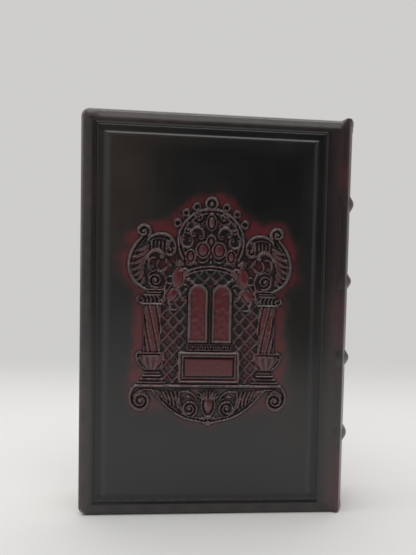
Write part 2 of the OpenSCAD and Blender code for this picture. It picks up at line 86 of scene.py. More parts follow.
class BookSizes(PropertyGroup):
    """Sizes of the covers' tooling and of the spine's swells and head cap."""

    frame_margin: FloatProperty(
        name="Frame margin", description="From the edge of a cover to its creased line",
        default=8.2 * MM, min=4 * MM, max=20 * MM, unit="LENGTH")
    crease_depth: FloatProperty(
        name="Crease depth", description="Depth of the creased line under the face of the cover",
        default=0.5 * MM, min=0.1 * MM, max=0.8 * MM, unit="LENGTH")
    channel_width: FloatProperty(
        name="Channel width", description="From the creased line to the foot of the panel",
        default=4.6 * MM, min=2 * MM, max=10 * MM, unit="LENGTH")
    panel_rise: FloatProperty(
        name="Panel rise", description="How far the panel stands over the face of the cover",
        default=0.6 * MM, min=0.2 * MM, max=1.2 * MM, unit="LENGTH")
    emblem_rise: FloatProperty(
        name="Emblem rise", description="Height of the emblem over the panel at its highest",
        default=1.4 * MM, min=0.4 * MM, max=1.4 * MM, unit="LENGTH")
    band_rise: FloatProperty(
        name="Band rise", description="How far a raised band stands over the spine",
        default=2.2 * MM, min=1 * MM, max=2.2 * MM, unit="LENGTH")
    cap_rise: FloatProperty(
        name="Cap rise", description="How far the head cap stands over the covers",
        default=WORN_CAP * (SPINE_HIGH[2] - COVER_TOP), min=0.5 * MM, max=1.8 * MM, unit="LENGTH")


class BookColours(PropertyGroup):
    """Colours of the leather, the paper and the stage."""

    black: FloatVectorProperty(
        name="Black dye", description="The dark dye rubbed over the red leather",
        subtype="COLOR", size=3, default=(0.0064, 0.0066, 0.0069), min=0, max=1)
    red: FloatVectorProperty(
        name="Red leather", description="The red leather where the dye is thin",
        subtype="COLOR", size=3, default=(0.09, 0.0085, 0.0115), min=0, max=1)
    page: FloatVectorProperty(
        name="Page edges", description="The cut edges of the pages",
        subtype="COLOR", size=3, default=(0.54, 0.445, 0.305), min=0, max=1)
    endpaper: FloatVectorProperty(
        name="Endpaper", description="The paper of flyleaves and pastedowns",
        subtype="COLOR", size=3, default=(0.52, 0.42, 0.28), min=0, max=1)
    floor: FloatVectorProperty(
        name="Floor", description="The pale floor and backdrop",
        subtype="COLOR", size=3, default=(0.75, 0.745, 0.74), min=0, max=1)


def sizes():
    """The sizes set in the sidebar, in metres."""
    return bpy.context.scene.book_sizes


def colours():
    """The colours set in the sidebar."""
    return bpy.context.scene.book_colours


# Materials

class Nodes:
    """A short way to build a material's node tree."""

    def __init__(self, name):
        self.material = bpy.data.materials.new(name)
        self.material.use_nodes = True
        self.tree = self.material.node_tree
        self.shader = self.tree.nodes["Principled BSDF"]

    def new(self, kind, **settings):
        """A new node, with its sockets or properties set by name."""
        node = self.tree.nodes.new(kind)
        for key, value in settings.items():
            if key in node.inputs:
                node.inputs[key].default_value = value
            else:
                setattr(node, key, value)
        return node

    def link(self, source, target):
        self.tree.links.new(source, target)

    def value(self, source):
        """The first output of a node, or the socket itself."""
        return source.outputs[0] if hasattr(source, "outputs") else source

    def put(self, source, socket):
        """Links a node or socket into a socket, or sets a plain number or colour on it."""
        if isinstance(source, (int, float, tuple)):
            socket.default_value = source
        else:
            self.link(self.value(source), socket)

    def coords(self, scale=(1, 1, 1)):
        """Object coordinates, drawn together along each axis by scale."""
        place = self.new("ShaderNodeTexCoord")
        mapping = self.new("ShaderNodeMapping", Scale=scale)
        self.link(place.outputs["Object"], mapping.inputs["Vector"])
        return mapping

    def noise(self, at, scale, detail=4.0, rough=0.55):
        node = self.new("ShaderNodeTexNoise", Scale=scale, Detail=detail, Roughness=rough)
        self.link(self.value(at), node.inputs["Vector"])
        return node.outputs["Fac"]

    def cells(self, at, scale, feature="F1"):
        node = self.new("ShaderNodeTexVoronoi", feature=feature, Scale=scale)
        self.link(self.value(at), node.inputs["Vector"])
        return node.outputs["Distance"]

    def span(self, source, low, high, out_low=0.0, out_high=1.0):
        """A soft step from out_low to out_high as source goes from low to high."""
        node = self.new("ShaderNodeMapRange", interpolation_type="SMOOTHSTEP")
        self.put(source, node.inputs["Value"])
        for key, number in zip(("From Min", "From Max", "To Min", "To Max"), (low, high, out_low, out_high)):
            self.put(number, node.inputs[key])
        return node.outputs["Result"]

    def maths(self, operation, a, b):
        node = self.new("ShaderNodeMath", operation=operation)
        self.put(a, node.inputs[0])
        self.put(b, node.inputs[1])
        return node.outputs[0]

    def mix(self, share, a, b):
        """A colour that goes from a to b with share."""
        node = self.new("ShaderNodeMix", data_type="RGBA")
        self.put(share, node.inputs["Factor"])
        self.put(a, node.inputs["A"])
        self.put(b, node.inputs["B"])
        return node.outputs["Result"]

    def attribute(self, name):
        return self.new("ShaderNodeAttribute", attribute_name=name).outputs["Fac"]

    def bump(self, height, distance, strength, under=None):
        """A bumped normal, over another one if under is given."""
        node = self.new("ShaderNodeBump", Distance=distance, Strength=strength)
        self.put(height, node.inputs["Height"])
        if under is not None:
            self.link(under, node.inputs["Normal"])
        return node.outputs["Normal"]

    def surface(self, colour, roughness, normal=None):
        """Gives the shader its colour, roughness and normal, and returns the material."""
        self.put(colour, self.shader.inputs["Base Color"])
        self.put(roughness, self.shader.inputs["Roughness"])
        if normal is not None:
            self.link(normal, self.shader.inputs["Normal"])
        return self.material


def rgba(colour, gain=1.0):
    """A colour with its alpha, made lighter or darker by gain."""
    return tuple(min(part * gain, 1.0) for part in colour) + (1.0,)


# The leather's tones beside the two that the sidebar sets
CLOUDED_DYE = (0.0098, 0.0078, 0.0069)
BROWN_DYE = (0.0235, 0.0138, 0.0088)
# The colour of the dark share: black dye left in hollows, painted shade in creases, channels, hollows and at
# the feet of the bands, and a painted dark reflection over the head half of the panel
DEEP_DYE_AND_SHADE = (0.0028, 0.0028, 0.003)
# The colour of the rub share: rubbed leather, and painted highlights on bevels, rolled edges, crests and the
# joint
RUBBED_AND_HIGHLIT_LEATHER = (0.097, 0.064, 0.062)


def leather_material():
    """Red leather under a rubbed black dye, with a fine grain and a satin finish.

    The pieces' attributes say where the red shows and where the dye is brown; the dark share holds black dye
    left in hollows together with painted shade, and the rub share holds rubbed leather together with painted
    highlights.
    """
    n = Nodes("antiqued_leather")
    at = n.coords()
    pores = n.cells(at, 1350.0)
    creases = n.cells(at, 620.0, "SMOOTH_F1")
    blotch = n.noise(at, 34.0, 5.0, 0.6)
    cloud = n.noise(at, 9.0, 3.0, 0.5)
    speckle = n.span(n.noise(at, 420.0, 3.0, 0.6), 0.35, 0.65, 0.84, 1.08)
    red = n.attribute("red")
    dark = n.attribute("dark")
    uneven = n.span(blotch, 0.3, 0.7, -0.16, 0.12)
    patchy = n.maths("ADD", red, n.maths("MULTIPLY", uneven, n.span(red, 0.0, 0.3)))
    red_share = n.span(n.maths("MULTIPLY", patchy, speckle), 0.0, 1.0)
    brown_share = n.maths("MULTIPLY", n.attribute("brown"), n.span(blotch, 0.3, 0.7, 0.55, 1.1))
    rub_and_highlight_share = n.maths("MULTIPLY", n.attribute("rub"), speckle)
    dye = n.mix(n.span(cloud, 0.42, 0.66), rgba(colours().black), rgba(CLOUDED_DYE))
    dye = n.mix(brown_share, dye, rgba(BROWN_DYE))
    antiqued = n.mix(red_share, dye, rgba(colours().red))
    # The dark share paints black dye left in hollows together with painted shade
    darkened = n.mix(dark, antiqued, rgba(DEEP_DYE_AND_SHADE))
    # The rub share paints rubbed leather together with painted highlights
    worn = n.mix(rub_and_highlight_share, darkened, rgba(RUBBED_AND_HIGHLIT_LEATHER))
    roughness = n.maths("ADD", n.span(blotch, 0.25, 0.75, 0.3, 0.38), n.span(dark, 0.75, 0.95, 0.0, 0.14))
    # The dark share's painted shade lowers the specular level too, so the shaded places lose their gloss
    n.put(n.span(dark, 0.1, 0.95, 0.5, 0.27), n.shader.inputs["Specular IOR Level"])
    n.shader.inputs["IOR"].default_value = 1.58
    n.shader.inputs["Coat Weight"].default_value = 0.12
    n.shader.inputs["Coat Roughness"].default_value = 0.28
    grain = n.bump(creases, 0.05 * MM, 0.5)
    return n.surface(worn, roughness, n.bump(pores, 0.025 * MM, 0.45, grain))


def page_material():
    """Cut edges of many leaves, with fine lines between them and a few darker gatherings."""
    n = Nodes("page_edges")
    leaves = n.noise(n.coords((4.0, 5200.0, 4.0)), 1.0, 2.0, 0.5)
    gatherings = n.noise(n.coords((6.0, 620.0, 6.0)), 1.0, 2.0, 0.5)
    foxing = n.noise(n.coords(), 60.0, 6.0, 0.65)
    base = n.mix(n.span(leaves, 0.35, 0.62), rgba(colours().page, 0.62), rgba(colours().page))
    toned = n.mix(n.span(gatherings, 0.52, 0.7, 0.0, 0.45), base, rgba(colours().page, 0.5))
    aged = n.mix(n.span(foxing, 0.56, 0.78, 0.0, 0.5), toned, rgba((0.36, 0.22, 0.11)))
    return n.surface(aged, 0.85, n.bump(leaves, 0.05 * MM, 0.6))


def paper_material():
    """Aged laid endpaper with faint fibres and foxing."""
    n = Nodes("aged_endpaper")
    at = n.coords()
    fibres = n.noise(n.coords((1.0, 1.0, 0.12)), 900.0, 4.0, 0.6)
    foxing = n.noise(at, 55.0, 7.0, 0.7)
    tone = n.noise(at, 14.0, 3.0, 0.5)
    base = n.mix(n.span(tone, 0.3, 0.7), rgba(colours().endpaper, 0.86), rgba(colours().endpaper, 1.08))
    aged = n.mix(n.span(foxing, 0.6, 0.75, 0.0, 0.55), base, rgba((0.3, 0.17, 0.08)))
    fibrous = n.mix(n.span(fibres, 0.4, 0.7, 0.0, 0.18), aged, rgba((0.3, 0.24, 0.16)))
    return n.surface(fibrous, 0.8, n.bump(fibres, 0.03 * MM, 0.5))


def board_material():
    """Grey pasteboard with pressed fibres."""
    n = Nodes("grey_pasteboard")
    fibres = n.noise(n.coords((1.0, 1.0, 0.4)), 500.0, 5.0, 0.7)
    pressed = n.mix(fibres, rgba((0.16, 0.145, 0.12)), rgba((0.4, 0.37, 0.32)))
    return n.surface(pressed, 0.9, n.bump(fibres, 0.08 * MM, 0.6))


def thread_material(name, colour, across):
    """Woven or twisted thread; across is how close its lines lie along each axis, per metre."""
    n = Nodes(name)
    lines = n.noise(n.coords(across), 1.0, 2.0, 0.5)
    threads = n.mix(n.span(lines, 0.4, 0.6), rgba(colour, 0.55), rgba(colour, 1.15))
    return n.surface(threads, 0.75, n.bump(lines, 0.1 * MM, 0.7))


def cord_material():
    """Twisted hemp of the raised cords."""
    return thread_material("hemp_cord", (0.42, 0.33, 0.2), (300.0, 300.0, 2600.0))


def linen_material():
    """Plain woven linen of the spine's lining."""
    return thread_material("lining_linen", (0.5, 0.44, 0.34), (1500.0, 1500.0, 1500.0))


def silk_material():
    """Red and cream silk wound in turns, read from the windings' own attribute."""
    n = Nodes("wound_silk")
    stripe = n.span(n.attribute("stripe"), 0.45, 0.55)
    silk = n.mix(stripe, rgba((0.22, 0.025, 0.03)), rgba((0.6, 0.5, 0.32)))
    n.shader.inputs["Sheen Weight"].default_value = 0.3
    fibres = n.noise(n.coords(), 1800.0, 2.0, 0.5)
    return n.surface(silk, 0.5, n.bump(fibres, 0.04 * MM, 0.4))


MATERIAL_MAKERS = {
    "antiqued_leather": leather_material,
    "page_edges": page_material,
    "aged_endpaper": paper_material,
    "grey_pasteboard": board_material,
    "hemp_cord": cord_material,
    "lining_linen": linen_material,
    "wound_silk": silk_material,
}


def material(name):
    """A material by its name, made the first time it is asked for."""
    return bpy.data.materials.get(name) or MATERIAL_MAKERS[name]()


# Making pieces

def grid_mesh(columns, rows):
    """A flat bmesh grid of columns by rows vertices, in order along x and then y."""
    bm = bmesh.new()
    bmesh.ops.create_grid(bm, x_segments=columns - 1, y_segments=rows - 1, size=1.0)
    bm.verts.ensure_lookup_table()
    return bm


def place_grid(bm, places):
    """Moves a grid's vertices to places, an array of rows by columns by 3."""
    for vertex, place in zip(bm.verts, places.reshape(-1, 3)):
        vertex.co = place


def finish_piece(bm, name, body, material_name, nodes=(), attributes=None):
    """Turns a bmesh into a piece that rides on body and stands for CAD nodes."""
    bmesh.ops.recalc_face_normals(bm, faces=bm.faces[:])
    mesh = bpy.data.meshes.new(name)
    bm.to_mesh(mesh)
    bm.free()
    for key, values in (attributes or {}).items():
        layer = mesh.attributes.new(key, "FLOAT", "POINT")
        full = np.zeros(len(mesh.vertices), np.float32)
        full[:values.size] = values.ravel()
        layer.data.foreach_set("value", full)
    mesh.shade_smooth()
    mesh.set_sharp_from_angle(angle=math.radians(40))
    mesh.materials.append(material(material_name))
    piece = bpy.data.objects.new(name, mesh)
    bpy.context.scene.collection.objects.link(piece)
    if body:
        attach(piece, body)
    if nodes:
        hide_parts(*nodes)
    return piece


def smoothstep(t):
    """Goes softly from 0 to 1 as t does."""
    t = np.clip(t, 0.0, 1.0)
    return t * t * (3 - 2 * t)


# The emblem, in millimetres from its middle and from the top of its ledge. Only the half with
# positive u is worked out, because the ornament is the same on both sides.

LEDGE_Z = 79.5
CROWN_V = 85.0
CROWN_R = 19.2

# Stands for a distance past any path's reach, in half widths
FAR_OFF = 9.0


def arc(centre, radius, start, end, steps=16):
    """Points on a circle's arc, angles in degrees."""
    angles = np.radians(np.linspace(start, end, steps + 1))
    return np.stack([centre[0] + radius * np.cos(angles), centre[1] + radius * np.sin(angles)], 1)


def spiral(centre, start_r, end_r, start, end, steps=30):
    """Points on a spiral whose radius changes evenly, angles in degrees."""
    angles = np.radians(np.linspace(start, end, steps + 1))
    radii = np.linspace(start_r, end_r, steps + 1)
    return np.stack([centre[0] + radii * np.cos(angles), centre[1] + radii * np.sin(angles)], 1)


def oval(middle, radii, steps=32):
    """Points round an oval."""
    turns = np.linspace(0, 2 * math.pi, steps + 1)
    return np.stack([middle[0] + radii[0] * np.cos(turns), middle[1] + radii[1] * np.sin(turns)], 1)


def bezier(a, b, c, d, steps=14):
    """Points on a cubic curve with ends a and d."""
    t = np.linspace(0, 1, steps + 1)[:, None]
    a, b, c, d = (np.array(point, float) for point in (a, b, c, d))
    s = 1 - t
    return s ** 3 * a + 3 * s * s * t * b + 3 * s * t * t * c + t ** 3 * d


class Relief:
    """Heights, red and dark shares and dark cuts over a grid of places in the emblem's plane; the dark is
    black dye left in hollows, with painted shade.
    """

    def __init__(self, u, v):
        self.u_line = u
        self.v_line = v
        self.u, self.v = np.meshgrid(u, v)
        self.height, self.red, self.dark, self.cut = (np.zeros(self.u.shape) for _ in range(4))

    def window(self, low, high, margin):
        """The part of the grid between two corners, as a pair of slices."""
        columns = np.searchsorted(self.u_line, (low[0] - margin, high[0] + margin))
        rows = np.searchsorted(self.v_line, (low[1] - margin, high[1] + margin))
        return slice(*rows), slice(*columns)

    def along(self, path, widths):
        """Distance to a path in half widths, over the window that the path can reach."""
        path = np.asarray(path, float)
        widths = np.interp(np.linspace(0, 1, len(path)), np.linspace(0, 1, len(widths)), widths)
        part = self.window(path.min(0), path.max(0), widths.max() / 2 + 0.5)
        u, v = self.u[part], self.v[part]
        best = np.full(u.shape, FAR_OFF)
        for a, b, wa, wb in zip(path[:-1], path[1:], widths[:-1], widths[1:]):
            run = b - a
            t = np.clip(((u - a[0]) * run[0] + (v - a[1]) * run[1]) / max(run @ run, 1e-9), 0, 1)
            gap = np.hypot(u - a[0] - t * run[0], v - a[1] - t * run[1])
            best = np.minimum(best, gap / ((wa + (wb - wa) * t) / 2))
        return part, best

    def ridge(self, path, widths, rise, base=0.0, fullness=0.6):
        """A rounded line that stands rise over base."""
        part, gap = self.along(path, np.atleast_1d(widths).astype(float))
        dome = np.clip(1 - gap * gap, 0, 1) ** fullness
        lifted = np.where(gap < 1, base + rise * dome, 0)
        self.height[part] = np.maximum(self.height[part], lifted)

    def bow(self, a, b, c, d, widths, rise, steps=14):
        """A ridge along a cubic curve with ends a and d."""
        self.ridge(bezier(a, b, c, d, steps), widths, rise)

    def groove(self, path, width, depth):
        """A rounded line cut into what is there."""
        part, gap = self.along(path, np.array([width, width], float))
        cut = depth * np.clip(1 - gap * gap, 0, 1)
        self.height[part] = np.maximum(self.height[part] - cut, 0)

    def score(self, path, width, depth, groove_dye_and_shade):
        """A groove whose bottom is painted dark: black dye kept there, with painted shade."""
        self.groove(path, width, depth)
        part, gap = self.along(path, np.array([width, width], float))
        self.cut[part] = np.maximum(self.cut[part], groove_dye_and_shade * np.clip(1.25 - gap, 0, 1))

    def dome(self, centre, radii, rise, base=0.0, fullness=0.6, turn=0.0):
        """An oval swelling."""
        a = math.radians(turn)
        du, dv = self.u - centre[0], self.v - centre[1]
        along = du * math.cos(a) + dv * math.sin(a)
        across = dv * math.cos(a) - du * math.sin(a)
        gap = np.hypot(along / radii[0], across / radii[1])
        lifted = np.where(gap < 1, base + rise * np.clip(1 - gap * gap, 0, 1) ** fullness, 0)
        self.height = np.maximum(self.height, lifted)
        return gap

    def plateau(self, inside, rise, edge=0.5):
        """Raises the places where inside, a distance from the rim inwards, is positive."""
        self.height = np.maximum(self.height, rise * smoothstep(inside / edge))

    def sink(self, inside, level, edge=0.5):
        """Lowers the places where inside is positive down to level."""
        share = smoothstep(inside / edge)
        lowered = np.minimum(self.height, self.height * (1 - share) + level * share)
        self.height = np.where(inside > 0, lowered, self.height)

    def tint(self, inside, red=None, dark=None, edge=0.6):
        """Sets the red or dark share where inside is positive."""
        share = smoothstep(inside / edge)
        if red is not None:
            self.red = self.red * (1 - share) + red * share
        if dark is not None:
            self.dark = self.dark * (1 - share) + dark * share

    def box(self, low, high, corner=0.0):
        """Distance inwards from the rim of a rectangle."""
        middle = ((low[0] + high[0]) / 2, (low[1] + high[1]) / 2)
        half = ((high[0] - low[0]) / 2 - corner, (high[1] - low[1]) / 2 - corner)
        du, dv = np.abs(self.u - middle[0]) - half[0], np.abs(self.v - middle[1]) - half[1]
        outside = np.hypot(np.maximum(du, 0), np.maximum(dv, 0))
        return corner - outside - np.minimum(np.maximum(du, dv), 0)

    def full_gap(self, path, width):
        """Distance to a path in half widths, over the whole grid."""
        part, gap = self.along(path, np.array([width, width], float))
        out = np.full(self.u.shape, FAR_OFF)
        out[part] = gap
        return out

    def disc(self, centre, radius):
        """Distance inwards from the rim of a circle."""
        return radius - np.hypot(self.u - centre[0], self.v - centre[1])

    def curl(self, centre, radius, start, turn, widths, rise):
        """A line that winds in to an eye."""
        self.ridge(spiral(centre, radius, radius * 0.34, start, start + turn), widths, rise)
        self.dome(centre, (radius * 0.3, radius * 0.3), rise * 1.05)

    def leaf(self, root, tip, bend, width, rise):
        """A leaf with a swollen middle, a pointed tip and a groove down its middle."""
        root, tip = np.array(root, float), np.array(tip, float)
        side = np.array([root[1] - tip[1], tip[0] - root[0]]) * bend
        path = bezier(root, root + (tip - root) * 0.35 + side, root + (tip - root) * 0.7 + side, tip, 10)
        self.ridge(path, (width * 0.4, width, width * 0.85, width * 0.25), rise)
        self.groove(path[1:-2], width * 0.24, rise * 0.35)


def lay_grounds(r):
    """The dark and red hollows that the ornament stands over."""
    r.tint(r.disc((0, CROWN_V), CROWN_R - 0.5), red=0.55, dark=0.7, edge=2.0)
    r.tint(r.box((0, 70), (20, 86), 3), red=0.55, dark=0.65, edge=2.0)
    for centre, radius in (((36, 70), 12), ((30, 62), 9), ((26, 78), 9), ((20, 63), 8)):
        r.tint(r.disc(centre, radius), red=0.5, dark=0.4, edge=2.5)
    r.tint(r.box((13, 0), (29, 58), 1), red=0.45, dark=0.72, edge=1.5)
    r.tint(r.box((20.5, 1), (28.6, 46), 1), red=0.85, dark=0.4, edge=3.0)
    r.tint(r.box((-34, -10), (34, -2), 3), red=0.4, dark=0.45, edge=2.5)
    r.tint(r.disc((0, -3), 19), red=0.4, dark=0.45, edge=2.5)


def lay_lattice(r):
    """Crossed bars behind the tablets and under the crown's circlet."""
    pitch, lean, bar = 5.28, math.radians(48), 1.25
    for low, high in (((13.4, 0.6), (29.0, 57.5)), ((-14.6, 59.5), (14.6, 69.5))):
        inside = r.box(low, high)
        for way in (1, -1):
            across = (r.u * math.sin(lean) + way * (r.v - 2.0) * math.cos(lean)) / pitch
            gap = np.abs(across - np.round(across)) * pitch / (bar / 2)
            lifted = 0.85 * np.clip(1 - gap * gap, 0, 1) ** 0.6 * smoothstep(inside / 0.4)
            r.height = np.maximum(r.height, lifted)
    r.tint(r.box((-14.6, 59.5), (14.6, 69.5), 2), red=0.05, dark=0.95, edge=0.8)


def lay_column(r):
    """A fluted urn, a twisted shaft and a capital over a stepped foot."""
    for v, half in ((1.5, 7.9), (3.5, 6.3), (5.5, 5.0), (7.3, 4.1)):
        r.ridge([(33.6 - half, v), (33.6 + half, v)], 1.35, 1.2)
    du = r.u - 34.3
    bowl_half = 3.4 + 3.9 * smoothstep((r.v - 8.4) / 7.5)
    inside = np.minimum(bowl_half - np.abs(du), np.minimum(r.v - 8.6, 18.2 - r.v))
    swell = np.sqrt(np.clip(1 - (du / bowl_half) ** 2, 0, 1))
    lobes = 0.5 + 0.5 * np.cos(2 * math.pi * du / (bowl_half * 0.5))
    r.height = np.maximum(r.height, (0.25 + 0.5 * swell + 0.6 * lobes * swell) * smoothstep(inside / 0.5))
    r.tint(inside, red=0.5, dark=0.1)
    r.ridge([(27.2, 18.9), (40.6, 18.9)], 1.5, 1.4)
    r.ridge([(29.4, 17.2), (39.0, 17.2)], 0.9, 1.2)
    r.curl((41.2, 17.0), 2.1, 100, -330, (1.5, 1.0), 1.4)
    r.bow((42.4, 15.6), (41.6, 12.4), (39.8, 10.6), (37.4, 9.2), (1.3, 1.2), 1.3)
    r.bow((27.0, 18.4), (26.2, 15.4), (27.6, 11.6), (30.0, 9.4), (1.0, 1.1), 1.1)
    shaft_u, shaft_half = 33.9, 4.6
    du = r.u - shaft_u
    inside = np.minimum(shaft_half - np.abs(du), np.minimum(r.v - 19.6, 47.4 - r.v))
    round_u = np.clip(du / shaft_half, -1, 1)
    body = 0.35 + 0.75 * np.sqrt(1 - round_u ** 2)
    r.height = np.maximum(r.height, body * smoothstep(inside / 0.4))
    r.tint(inside, red=0.9, dark=0.0)
    flutes = (
        ((36.5, 48), (34.4, 38), (31.8, 28), (30.7, 20)),
        ((38.3, 41), (37.7, 33.5), (36.2, 27), (34.5, 20)),
        ((32.2, 48), (30.6, 40), (29.8, 36), (29.4, 31)),
        ((38.4, 28), (38.2, 25), (37.6, 22.4), (37.0, 20)))
    for flute in flutes:
        path = bezier(*flute)
        r.ridge(path + np.array((-0.95, 0.0)), (0.9, 0.9), 0.25, base=0.95)
        r.score(path, 1.0, 0.7, 0.85)
    r.ridge([(38.7, 20), (38.7, 47.4)], 0.8, 0.9)
    r.ridge([(29.1, 20), (29.1, 47.4)], 0.8, 0.9)
    r.ridge([(28.4, 47.9), (39.8, 47.9)], 1.3, 1.3)
    r.ridge([(29.6, 53.4), (38.6, 53.4)], 1.2, 1.3)
    for k in range(4):
        u = 30.2 + 2.3 * k
        r.bow((u, 49), (u - 0.6, 51), (u + 0.4, 52), (u + 1.0, 52.8), 1.2, 1.1)
    r.curl((40.4, 50.4), 2.3, 60, -380, (1.4, 1.0), 1.4)
    r.curl((28.0, 50.4), 1.7, 120, 330, (1.1, 0.9), 1.2)
    for v, half in ((54.8, 3.9), (56.4, 3.9), (57.8, 4.6)):
        r.ridge([(33.2 - half, v), (33.2 + half, v)], 1.0, 1.15)


def lay_console(r):
    """The scrolled console over a column: a lobed leaf along its back and an arcade under its top."""
    back = bezier((40.6, 86.6), (49.6, 77.5), (51.6, 62.5), (37.0, 56.2), 26)
    r.ridge(back, (1.5, 2.0, 2.0, 1.5), 1.4)
    r.curl((39.5, 90.3), 4.1, 215, -440, (2.1, 1.4), 1.45)
    r.bow((36.2, 88.4), (35.6, 86.6), (36.6, 85.2), (37.4, 83.6), (1.4, 1.0), 1.3)
    r.bow((38.6, 85.8), (45.6, 79), (48.2, 68.5), (44.4, 61.5), (0.8, 1.0), 1.0, steps=20)
    lobes = (((36.2, 82.6), (44.6, 78.8)), ((36.6, 79.8), (46.2, 75.2)), ((37.4, 76.6), (46.8, 71.2)),
        ((38.4, 73.4), (46.8, 67.4)), ((39.4, 70.0), (46.0, 63.8)), ((39.6, 66.6), (44.2, 61.0)),
        ((38.8, 63.6), (41.6, 59.0)))
    for root, tip in lobes:
        r.leaf(root, tip, -0.16, 2.5, 1.2)
    r.bow((20.8, 81.4), (22.0, 90.8), (32.5, 90.6), (37.0, 85.6), (1.6, 1.9, 1.6), 1.4, steps=20)
    r.bow((24.6, 84.4), (28, 87.4), (32.5, 87.2), (35.6, 84.6), (0.9, 1.0), 1.1)
    for k in range(5):
        r.ridge([(26.4 + 2.1 * k, 80.6 + 0.3 * math.sin(k)), (26.0 + 2.15 * k, 84.6)], 1.15, 1.15)
    hood = bezier((28.0, 76.0), (28.4, 81.0), (36.2, 80.8), (37.4, 74.6), 16)
    r.ridge(hood, (2.2, 2.5, 1.9), 1.2)
    r.tint(1 - r.full_gap(hood, 2.3), red=1.0, dark=0.0, edge=0.5)
    r.curl((29.0, 76.0), 1.5, 120, 330, (0.9, 0.8), 1.25)
    r.bow((32.6, 75.2), (36.6, 75.6), (37.6, 71.4), (35.4, 68.4), (1.2, 1.5, 1.2), 1.2)
    r.curl((34.4, 69.4), 1.5, -60, 330, (0.9, 0.7), 1.15)
    r.bow((30.6, 73.6), (32.4, 71.6), (32.0, 69.4), (30.4, 68.0), (0.9, 1.1), 1.05)
    r.curl((32.3, 61.9), 4.3, 250, 520, (1.5, 1.1), 1.4)
    r.bow((36.4, 62.6), (37.4, 66.2), (33.0, 69.2), (28.4, 66.2), (1.0, 1.2), 1.2)
    r.curl((24.3, 79.6), 2.7, 150, 420, (1.3, 0.9), 1.3)
    r.bow((20.8, 81.6), (20.2, 77.6), (23.6, 75.2), (27.0, 77.6), (1.3, 1.1), 1.3)
    r.leaf((23.0, 86.0), (24.6, 80.8), 0.25, 2.2, 1.2)
    r.leaf((26.4, 74.8), (22.4, 70.4), 0.2, 2.0, 1.1)
    r.leaf((29.8, 66.8), (25.6, 70.6), 0.2, 1.9, 1.1)
    r.bow((27.2, 58.4), (24.6, 62), (27.2, 65.0), (28.6, 67.4), (1.0, 1.2), 1.1)


def lay_lion(r):
    """A lion that rears up towards the crown, in plain rounded masses."""
    r.dome((19.4, 63.4), (3.5, 6.5), 1.3, turn=4)
    r.tint(1 - np.hypot((r.u - 19.4) / 3.0, (r.v - 63.4) / 5.9), red=1.0, dark=0.0, edge=0.45)
    r.bow((16.6, 68.6), (14.6, 64), (15.2, 59.0), (20.0, 57.4), (0.9, 1.1), 1.25)
    r.dome((22.6, 53.4), (3.0, 4.4), 1.25, turn=28)
    r.tint(1 - np.hypot((r.u - 22.6) / 2.5, (r.v - 53.4) / 3.6), red=1.0, dark=0.0, edge=0.45)
    r.bow((24.0, 50.6), (25.4, 48.6), (22.6, 47.6), (23.6, 45.4), (2.2, 1.4), 1.2)
    r.bow((23.6, 45.4), (22.2, 44.2), (20.4, 44.4), (19.6, 45.2), (1.5, 1.1), 1.15)
    r.bow((20.0, 57.0), (16.6, 56.0), (18.4, 52.6), (16.2, 50.6), (2.0, 1.4), 1.15)
    r.curl((15.4, 51.6), 1.6, 300, -300, (1.1, 0.8), 1.15)
    r.bow((17.8, 67.6), (15.4, 70.2), (13.2, 69.0), (13.4, 66.2), (1.9, 1.2), 1.2)
    r.curl((14.6, 67.2), 1.6, 60, 330, (1.0, 0.8), 1.15)
    r.bow((15.6, 64.4), (13.4, 61.6), (11.0, 62.0), (9.4, 60.6), (1.4, 1.0), 1.2)
    for k in range(10):
        a = math.radians(36 * k)
        middle = np.array((19.0, 72.0))
        r.ridge([middle + 1.1 * np.array((math.cos(a), math.sin(a))),
            middle + 2.9 * np.array((math.cos(a + 0.5), math.sin(a + 0.5)))], (1.1, 0.7), 1.2)
    r.dome((18.4, 72.2), (1.7, 1.6), 1.4)
    r.dome((16.8, 71.7), (1.2, 0.9), 1.3)
    r.ridge(oval((23.9, 62.2), (2.2, 2.2), 24), 1.1, 1.2)
    r.bow((25.6, 60.6), (28.2, 58.6), (25.0, 55.6), (27.6, 51.8), (1.1, 1.4), 1.15)
    r.bow((23.2, 59.4), (25.0, 57.6), (24.6, 56.2), (26.2, 54.6), (0.9, 1.0), 1.0)


def lay_tablets(r):
    """Two blank tablets with arched tops, side by side on a beaded rail."""
    width, foot, height = 12.2, 25.2, 35.2
    middle = 0.9 + width / 2
    spring = foot + height - width / 2
    du, dv = np.abs(r.u - middle), r.v - spring
    inside = np.where(dv > 0, width / 2 - np.hypot(du, dv), np.minimum(width / 2 - du, r.v - foot))
    r.tint(inside, red=0.3, dark=0.0, edge=0.6)
    r.plateau(inside, 1.35, 0.5)
    r.sink(inside - 1.15, 0.75, 0.7)
    r.tint(inside - 1.6, red=1.0, dark=0.0, edge=1.6)
    r.ridge([(0, foot), (0, spring + 2.0)], 1.1, 1.15)
    r.bow((12.6, 57.8), (13.6, 59.8), (15.2, 60.2), (17.0, 59.0), (1.0, 0.8), 1.15)
    rail = r.box((-13.8, 20.4), (13.8, 24.6))
    r.tint(rail, red=0.1, dark=0.6)
    r.ridge([(0, 24.4), (13.6, 24.4)], 0.9, 1.1)
    r.ridge([(0, 20.9), (13.2, 20.9)], 0.9, 1.0)
    for k in range(9):
        r.dome((0.8 + 1.5 * k, 22.7), (0.62, 0.95), 1.1)


